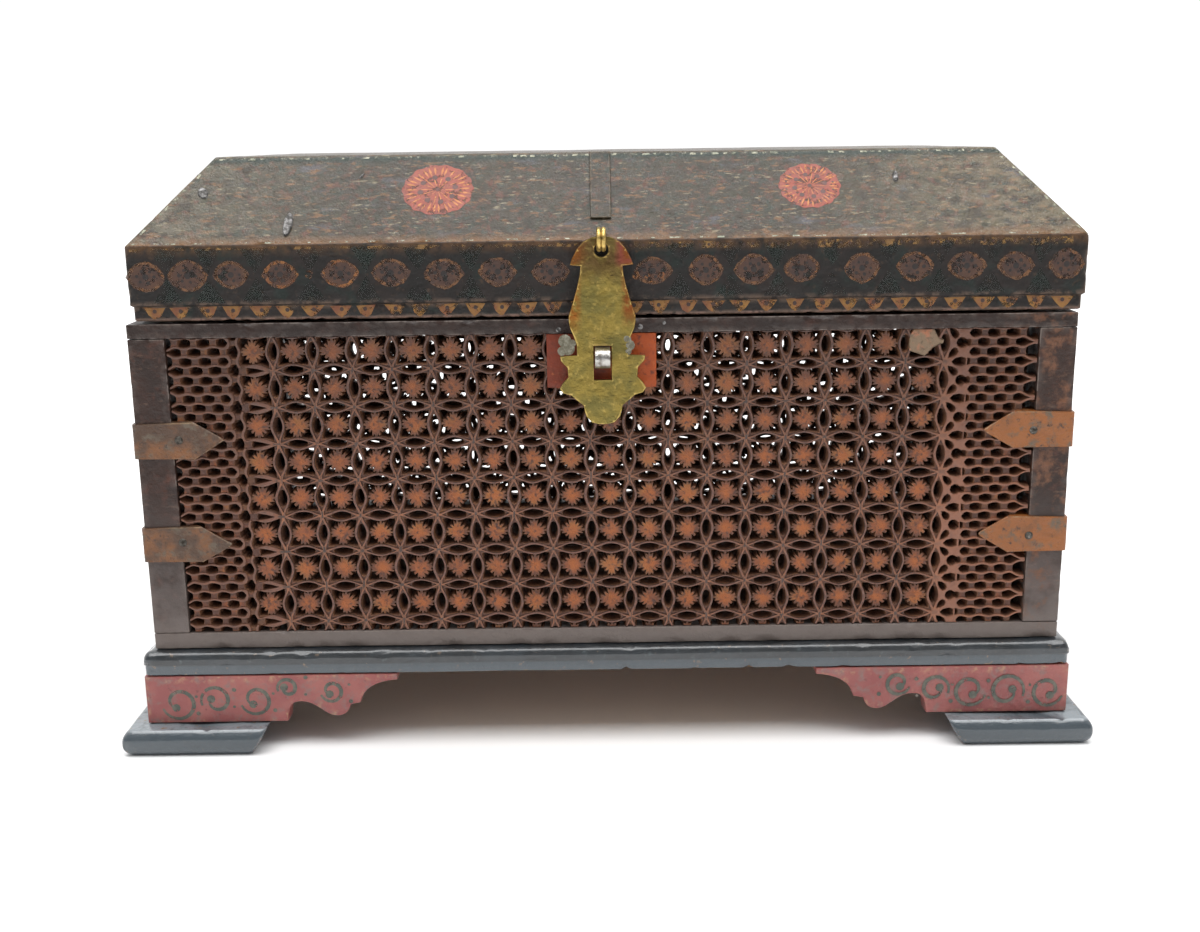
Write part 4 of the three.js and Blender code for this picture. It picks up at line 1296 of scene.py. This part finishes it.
# One bent sheet on each corner: the front leg has lengths under 0, the side leg lengths past the bend.
def makeStraps(nailMetal):
    iron, nails = paintedIron(), []
    bend, (dent, dentSize) = strap["bend"], strap["dents"]
    quarter = bend * math.pi / 2
    for node in nodesFrom("corner_strap"):
        low, high = nodeBox(node)
        signX, signY = (1 if low.x > 0 else -1), (1 if low.y > 0 else -1)
        outX, outY = max(abs(low.x), abs(high.x)), max(abs(low.y), abs(high.y))
        middle = (low.z + high.z) / 2
        end = strapEnd(high.z - low.z, high.x - low.x - bend)
        loop = jitter([(-a, b) for a, b in end[::-1]] + [(a + quarter, b) for a, b in end], 0.3)

        def place(u, v, depth):
            turn = min(max(u / bend, 0), math.pi / 2)
            out = Vector((math.sin(turn), math.cos(turn)))
            point = Vector((outX - bend, outY - bend)) + out * bend
            point += Vector((min(u, 0), -max(u - quarter, 0)))
            point -= out * (depth + dent + dent * noiseAt((u, v, outX * signX + low.z), dentSize))
            return Vector((signX * point.x, signY * point.y, middle + v))

        shape = plate(loop, strap["rings"], place, 1)
        if signX == signY:
            shape = flipped(shape)
        makePiece(node + "_painted", "box", shape, [iron], [node])
        for u in (-strap["nailAt"], quarter + strap["nailAt"]):
            spot = place(u + dice.uniform(-2, 2), dice.uniform(-1, 1), strap["nailDepth"])
            nails.append(nailHead(spot, (0, signY, 0) if u < 0 else (signX, 0, 0), *strap["nail"]))
    makePiece("strap_nails", "box", joinShapes(nails), [nailMetal])


hasp = {
    "wide": 36.8, "long": 78.6, "crown": 5.7, "eye": 2.9, "slot": (3.7, -53.9, -39.7),
    "outline": (
        (0, 0), (0.2, 0.006), (0.4, 0.028), (0.55, 0.068), (0.66, 0.118), (0.71, 0.15), (0.47, 0.156),
        (0.49, 0.2), (0.556, 0.268), (0.66, 0.35), (0.753, 0.416), (0.755, 0.446), (0.72, 0.485),
        (0.65, 0.5225), (0.58, 0.5735), (0.58, 0.6245), (0.965, 0.629), (0.95, 0.654), (0.8, 0.692),
        (0.785, 0.743), (0.91, 0.773), (0.985, 0.803), (0.91, 0.828), (0.72, 0.842), (0.63, 0.862),
        (0.446, 0.896), (0.42, 0.93), (0.39, 0.956), (0.255, 0.99), (0.12, 0.998), (0, 1),
    ),
    "solder": (
        (-15.6, -37.4, 2.8), (-14.4, -40.6, 2.9), (-16.8, -41.6, 2), (-12.6, -38.4, 1.6),
        (10.2, -36.8, 1.8), (11.2, -39.5, 2.3), (10.4, -42, 1.7),
    ),
    "rings": ((0.35, 0), (0.1, 0.1), (0, 0.4), (0, 1.2)), "ringRadius": 4.1, "wire": 1, "wires": 0.95,
    "shank": (0.7, 0.72), "dish": (-7.5, -1, 0.25, 13), "dents": (0.12, 12), "solderTop": (0.35, 0.3),
}


# The hasp's plate, dished at its head and dented below, with blobs of solder on it.
def makeHasp(brass):
    low, high = nodeBox("hasp")
    eye = high.z - hasp["crown"]
    points = [(x * hasp["wide"] / 2, hasp["crown"] - drop * hasp["long"]) for x, drop in hasp["outline"]]
    outline = points + [(-x, z) for x, z in points[1:-1]][::-1]
    half, bottom, top = hasp["slot"]
    loops = [outline, inLoop(20, hasp["eye"]), rectangle(-half, bottom, half, top)]
    thick, (depth, rise), (dent, dentSize) = high.y - low.y, hasp["solderTop"], hasp["dents"]
    start, end, deep, wide = hasp["dish"]

    def place(x, z, back):
        head = smoothStep(start, end, z) * deep * (1 - min(1, (x / wide) ** 2))
        hollow = dent + dent * noiseAt((x, z, 3), dentSize)
        return Vector((x, low.y + min(thick, back * 0.75 + hollow + head), eye + z))

    shape = slab(*triangulate(loops, lambda owners: owners == {0}, 1.3), hasp["rings"], place)
    makePiece("hasp_plate", "hasp", shape, [brass], ["hasp"])
    blobs = [nailHead((x, low.y + depth, eye + z), (0, -1, 0), size, rise) for x, z, size in hasp["solder"]]
    makePiece("hasp_solder", "hasp", joinShapes(blobs), [leadSolder()])


# Two wires side by side, bent to a ring through the hasp's eye, with a shank into the lid.
def makeRing(brass):
    low, high = nodeBox("hasp_ring")
    radius, wire = hasp["ringRadius"], hasp["wire"]
    middle = Vector((0, low.y + radius + wire, low.z + radius + wire))
    back, rise = (radius * share for share in hasp["shank"])
    turns = [math.radians(a) for a in range(-225, 136, 15)]
    shapes = []
    for x in (-hasp["wires"], hasp["wires"]):
        loop = [middle + Vector((x, radius * math.cos(t), radius * math.sin(t))) for t in turns]
        shank = [middle + Vector((x, back, rise)), Vector((x, high.y, middle.z + rise))]
        shapes += [tube(loop, wire), tube(shank, wire)]
    makePiece("hasp_ring_wire", "lid", joinShapes(shapes), [brass], ["hasp_ring"])


staple = {"band": 1.6, "bevel": ((0.35, 0), (0.1, 0.12), (0, 0.4))}


# A U of flat iron through the hasp's slot, driven into the block.
def makeStaple():
    low, high = nodeBox("lock_staple")
    middle, half, bevel = (low.z + high.z) / 2, (high.z - low.z) / 2, staple["bevel"]
    shoulder, inner, width = low.y + half, half - staple["band"], high.x - low.x
    outside = [(high.y, -half), (shoulder, -half)] + arc((shoulder, 0), half, -90, -270, 12)[1:-1]
    inside = [(high.y, inner), (shoulder, inner)] + arc((shoulder, 0), inner, 90, 270, 12)[1:-1]
    loop = outside + [(shoulder, half), (high.y, half)] + inside + [(shoulder, -inner), (high.y, -inner)]
    rings = [*bevel, *((inset, width - depth) for inset, depth in bevel[::-1])]
    shape = plate(loop, rings, lambda y, z, depth: Vector((low.x + depth, y, middle + z)), 0)
    makePiece("staple_iron", "box", flipped(shape), [brightIron()], ["lock_staple"])


lockBlock = {
    "low": (-23.7, 0.35, -23.6), "high": (22.8, 7.6, -0.2), "round": 0.5, "nailTop": 0.3,
    "nails": ((-18.4, 1.4, 1.5), (16, 2.2, 1.5), (-12.6, 3.8, 1), (26, 3.8, 1)),
    "wear": {"wave": 0.2, "waveSize": 12, "chip": 0.4, "chipSize": 4, "bite": 0.25},
}


# The block that the staple is driven into, placed from the front face and the opening's top, and old nails.
def makeLockBlock():
    corners = (lockBlock["low"], lockBlock["high"])
    low, high = ((x, -bodyHalfY + y, openingTop + z) for x, y, z in corners)
    shape = board(low, high, lockBlock["round"], 3)
    makePiece("lock_block", "box", shape, [redLead()], wear=lockBlock["wear"])
    nails = [
        nailHead((x, low[1], openingTop + rise), (0, -1, 0), size, lockBlock["nailTop"])
        for x, rise, size in lockBlock["nails"]
    ]
    makePiece("rail_nails", "box", joinShapes(nails), [rubbedIron()])


# Each leaf has barrels between two places along the pin, and webs from them to its sheet.
hinge = {
    "half": 9, "knuckle": 3.2, "root": 3.6, "point": 7, "tip": (1.2, 0.2), "sheet": 1.2, "behind": 0.3,
    "box": ((-3.4, 3.4),), "lid": ((-9, -3.8), (3.8, 9)), "web": 4.2, "nails": ((-5, 9), (5, 9)),
    "rings": ((0.3, 0), (0, 0.3), (0, 1.15)), "lastNail": 9, "nail": (1.4, 0.6), "pin": 1.3,
    "barrelEnds": (0.5, 0.3), "pinEnds": (0.4, 0.4),
}


# A round bar along x, thinner over a short length at both ends.
def bar(place, long, radius, thinner, short, count=16):
    profile = [(0, radius - thinner), (short, radius), (long - short, radius), (long, radius - thinner)]
    return turned(place, (1, 0, 0), profile, count)


def makeHinges(brass, iron):
    nails = {"box": [], "lid": []}
    half, root, sheet, (wide, blunt) = hinge["half"], hinge["root"], hinge["sheet"], hinge["tip"]
    back = bodyHalfY + hinge["behind"]
    for hand in ("left", "right"):
        low, high = nodeBox(f"hinge_{hand}_pin")
        axis = (low + high) / 2
        for part, body, sign in (("body_leaf", "box", -1), ("lid_leaf", "lid", 1)):
            node = f"hinge_{hand}_{part}"
            low, high = nodeBox(node)
            length = axis.z - low.z if sign < 0 else high.z - axis.z
            waist = length - hinge["point"]
            outline = [(half, root), (half, waist), (wide, length - blunt)]
            loop = [(-half, root)] + outline + [(-x, z) for x, z in outline[:0:-1]]
            place = lambda x, z, depth: Vector((axis.x + x, back + sheet - depth, axis.z + sign * z))
            leaf = plate(loop, hinge["rings"], place)
            shapes = [flipped(leaf) if sign > 0 else leaf]
            for start, end in hinge[body]:
                spot = (axis.x + start, axis.y, axis.z)
                shapes.append(bar(spot, end - start, hinge["knuckle"], *hinge["barrelEnds"], 24))
                levels = sorted([axis.z, axis.z + sign * hinge["web"]])
                corners = zip((axis.x + start, axis.x + end), (back, back + sheet), levels)
                shapes.append(board(*corners, 0.2, 3))
            makePiece(node + "_brass", body, joinShapes(shapes), [brass], [node])
            for x, z in hinge["nails"] + ((0, length - hinge["lastNail"]),):
                nails[body].append(nailHead(place(x, z, 0), (0, 1, 0), *hinge["nail"]))
        pin = bar((axis.x - half, axis.y, axis.z), 2 * half, hinge["pin"], *hinge["pinEnds"])
        makePiece(f"hinge_{hand}_pin_iron", "box", pin, [iron], [f"hinge_{hand}_pin"])
    for body, shapes in nails.items():
        makePiece(f"hinge_nails_{body}", body, joinShapes(shapes), [iron])


# Old plain wood of the inside, brown and a little dusty.
def agedBoard():
    layers = [("#664632", (40, 3, 3), 0.3, 0.75), ("#776049", 30, 0.45, 0.7)]
    return weathered("agedBoard", "#8f6444", layers, (0.6, 0.75), [((20, 2, 2), 0.15)])


makeFrame()
makePlug()
print("frame made")
fretMaterials = [varnishedFret(), orangePaint(), sawnWood()]
for number, side in enumerate(sides.values()):
    makeFretPanel(side, fretMaterials, number * 7)
print("fretwork made")
oldWood = agedBoard()
shape, boardWear = board(*nodeBox("floor_board"), 0.6, 6), {"wave": 0.3, "waveSize": 40}
makePiece("floor_board_plank", "box", shape, [oldWood], ["floor_board"], boardWear)
brass, iron = sheetBrass(), greyIron()
makeLid(oldWood)
clinchNails(rubbedIron())
paintLid()
print("lid made")
makePlinth()
print("plinth made")
makeStraps(iron)
makeHasp(brass)
makeRing(brass)
makeStaple()
makeLockBlock()
makeHinges(brass, iron)
print("metalwork made")


# Floor, light and camera

# White paper that glows more with distance in metres, and so fades into the white room.
paper = weathered("whitePaper", "#f6f6f6", rough=(0.9, 0.9), Emission_Color=(1, 1, 1, 1))
tree = paper.node_tree
away = add(tree, "VectorMath", {0: add(tree, "TexCoord", {}, "Object")}, "Value", operation="LENGTH")
fade = {"Value": away, "From Min": 0.42, "From Max": 1.1, "To Max": 0.6}
fill(tree, tree.nodes["Principled BSDF"], {"Emission Strength": add(tree, "MapRange", fade)})
floorMesh = bpy.data.meshes.new("paperFloor")
floorMesh.from_pydata([(-4, -3, 0), (4, -3, 0), (4, 6, 0), (-4, 6, 0)], [], [(0, 1, 2, 3)])
floorMesh.materials.append(paper)
floor = bpy.data.objects.new("paperFloor", floorMesh)
bpy.context.scene.collection.objects.link(floor)

# The room is brighter above than below.
world = bpy.data.worlds.new("whiteRoom")
bpy.context.scene.world = world
world.use_nodes = True
tree = world.node_tree
facing = add(tree, "SeparateXYZ", {0: add(tree, "TexCoord", {}, "Generated")}, 1)
room = {"Value": facing, "From Min": -0.7, "From Max": 0.3, "To Min": 0.36, "To Max": 1.05}
fill(tree, tree.nodes["Background"], {"Color": (1, 1, 1, 1), "Strength": add(tree, "MapRange", room)})


# A wide softbox and a tube above, with sizes and places in metres.
lights = {
    "overheadSoftbox": {"at": (0, -0.35, 1.25), "aim": (0, -0.05, 0.15), "size": (1.6, 0.9), "power": 20},
    "overheadTube": {"at": (0, 0.25, 1.2), "aim": (0, -0.1, 0.05), "size": (1.5, 0.06), "power": 4},
}
for name, light in lights.items():
    data = bpy.data.lights.new(name, "AREA")
    data.shape, data.energy = "RECTANGLE", light["power"]
    data.size, data.size_y = light["size"]
    lamp = bpy.data.objects.new(name, data)
    lamp.location = light["at"]
    ahead = Vector(light["aim"]) - Vector(light["at"])
    lamp.rotation_euler = ahead.to_track_quat("-Z", "Y").to_euler()
    bpy.context.scene.collection.objects.link(lamp)

# The camera, fitted to the photograph: a place in mm, its tilt in degrees and its roll in radians.
photoView = {"lens": 40.83, "place": (-1.7, -684, 262.5), "tilt": 13.47, "roll": -0.0135}
cameraData = bpy.data.cameras.new("photoCamera")
cameraData.lens, cameraData.sensor_width = photoView["lens"], 36
cameraData.clip_start, cameraData.clip_end = 0.02, 50
camera = bpy.data.objects.new("photoCamera", cameraData)
tilt = Matrix.Rotation(math.radians(90 - photoView["tilt"]), 4, "X")
roll = Matrix.Rotation(photoView["roll"], 4, "Z")
camera.matrix_world = Matrix.Translation(Vector(photoView["place"]) * mm) @ tilt @ roll
bpy.context.scene.collection.objects.link(camera)
bpy.context.scene.camera = camera
bpy.context.scene.view_settings.view_transform = "Standard"
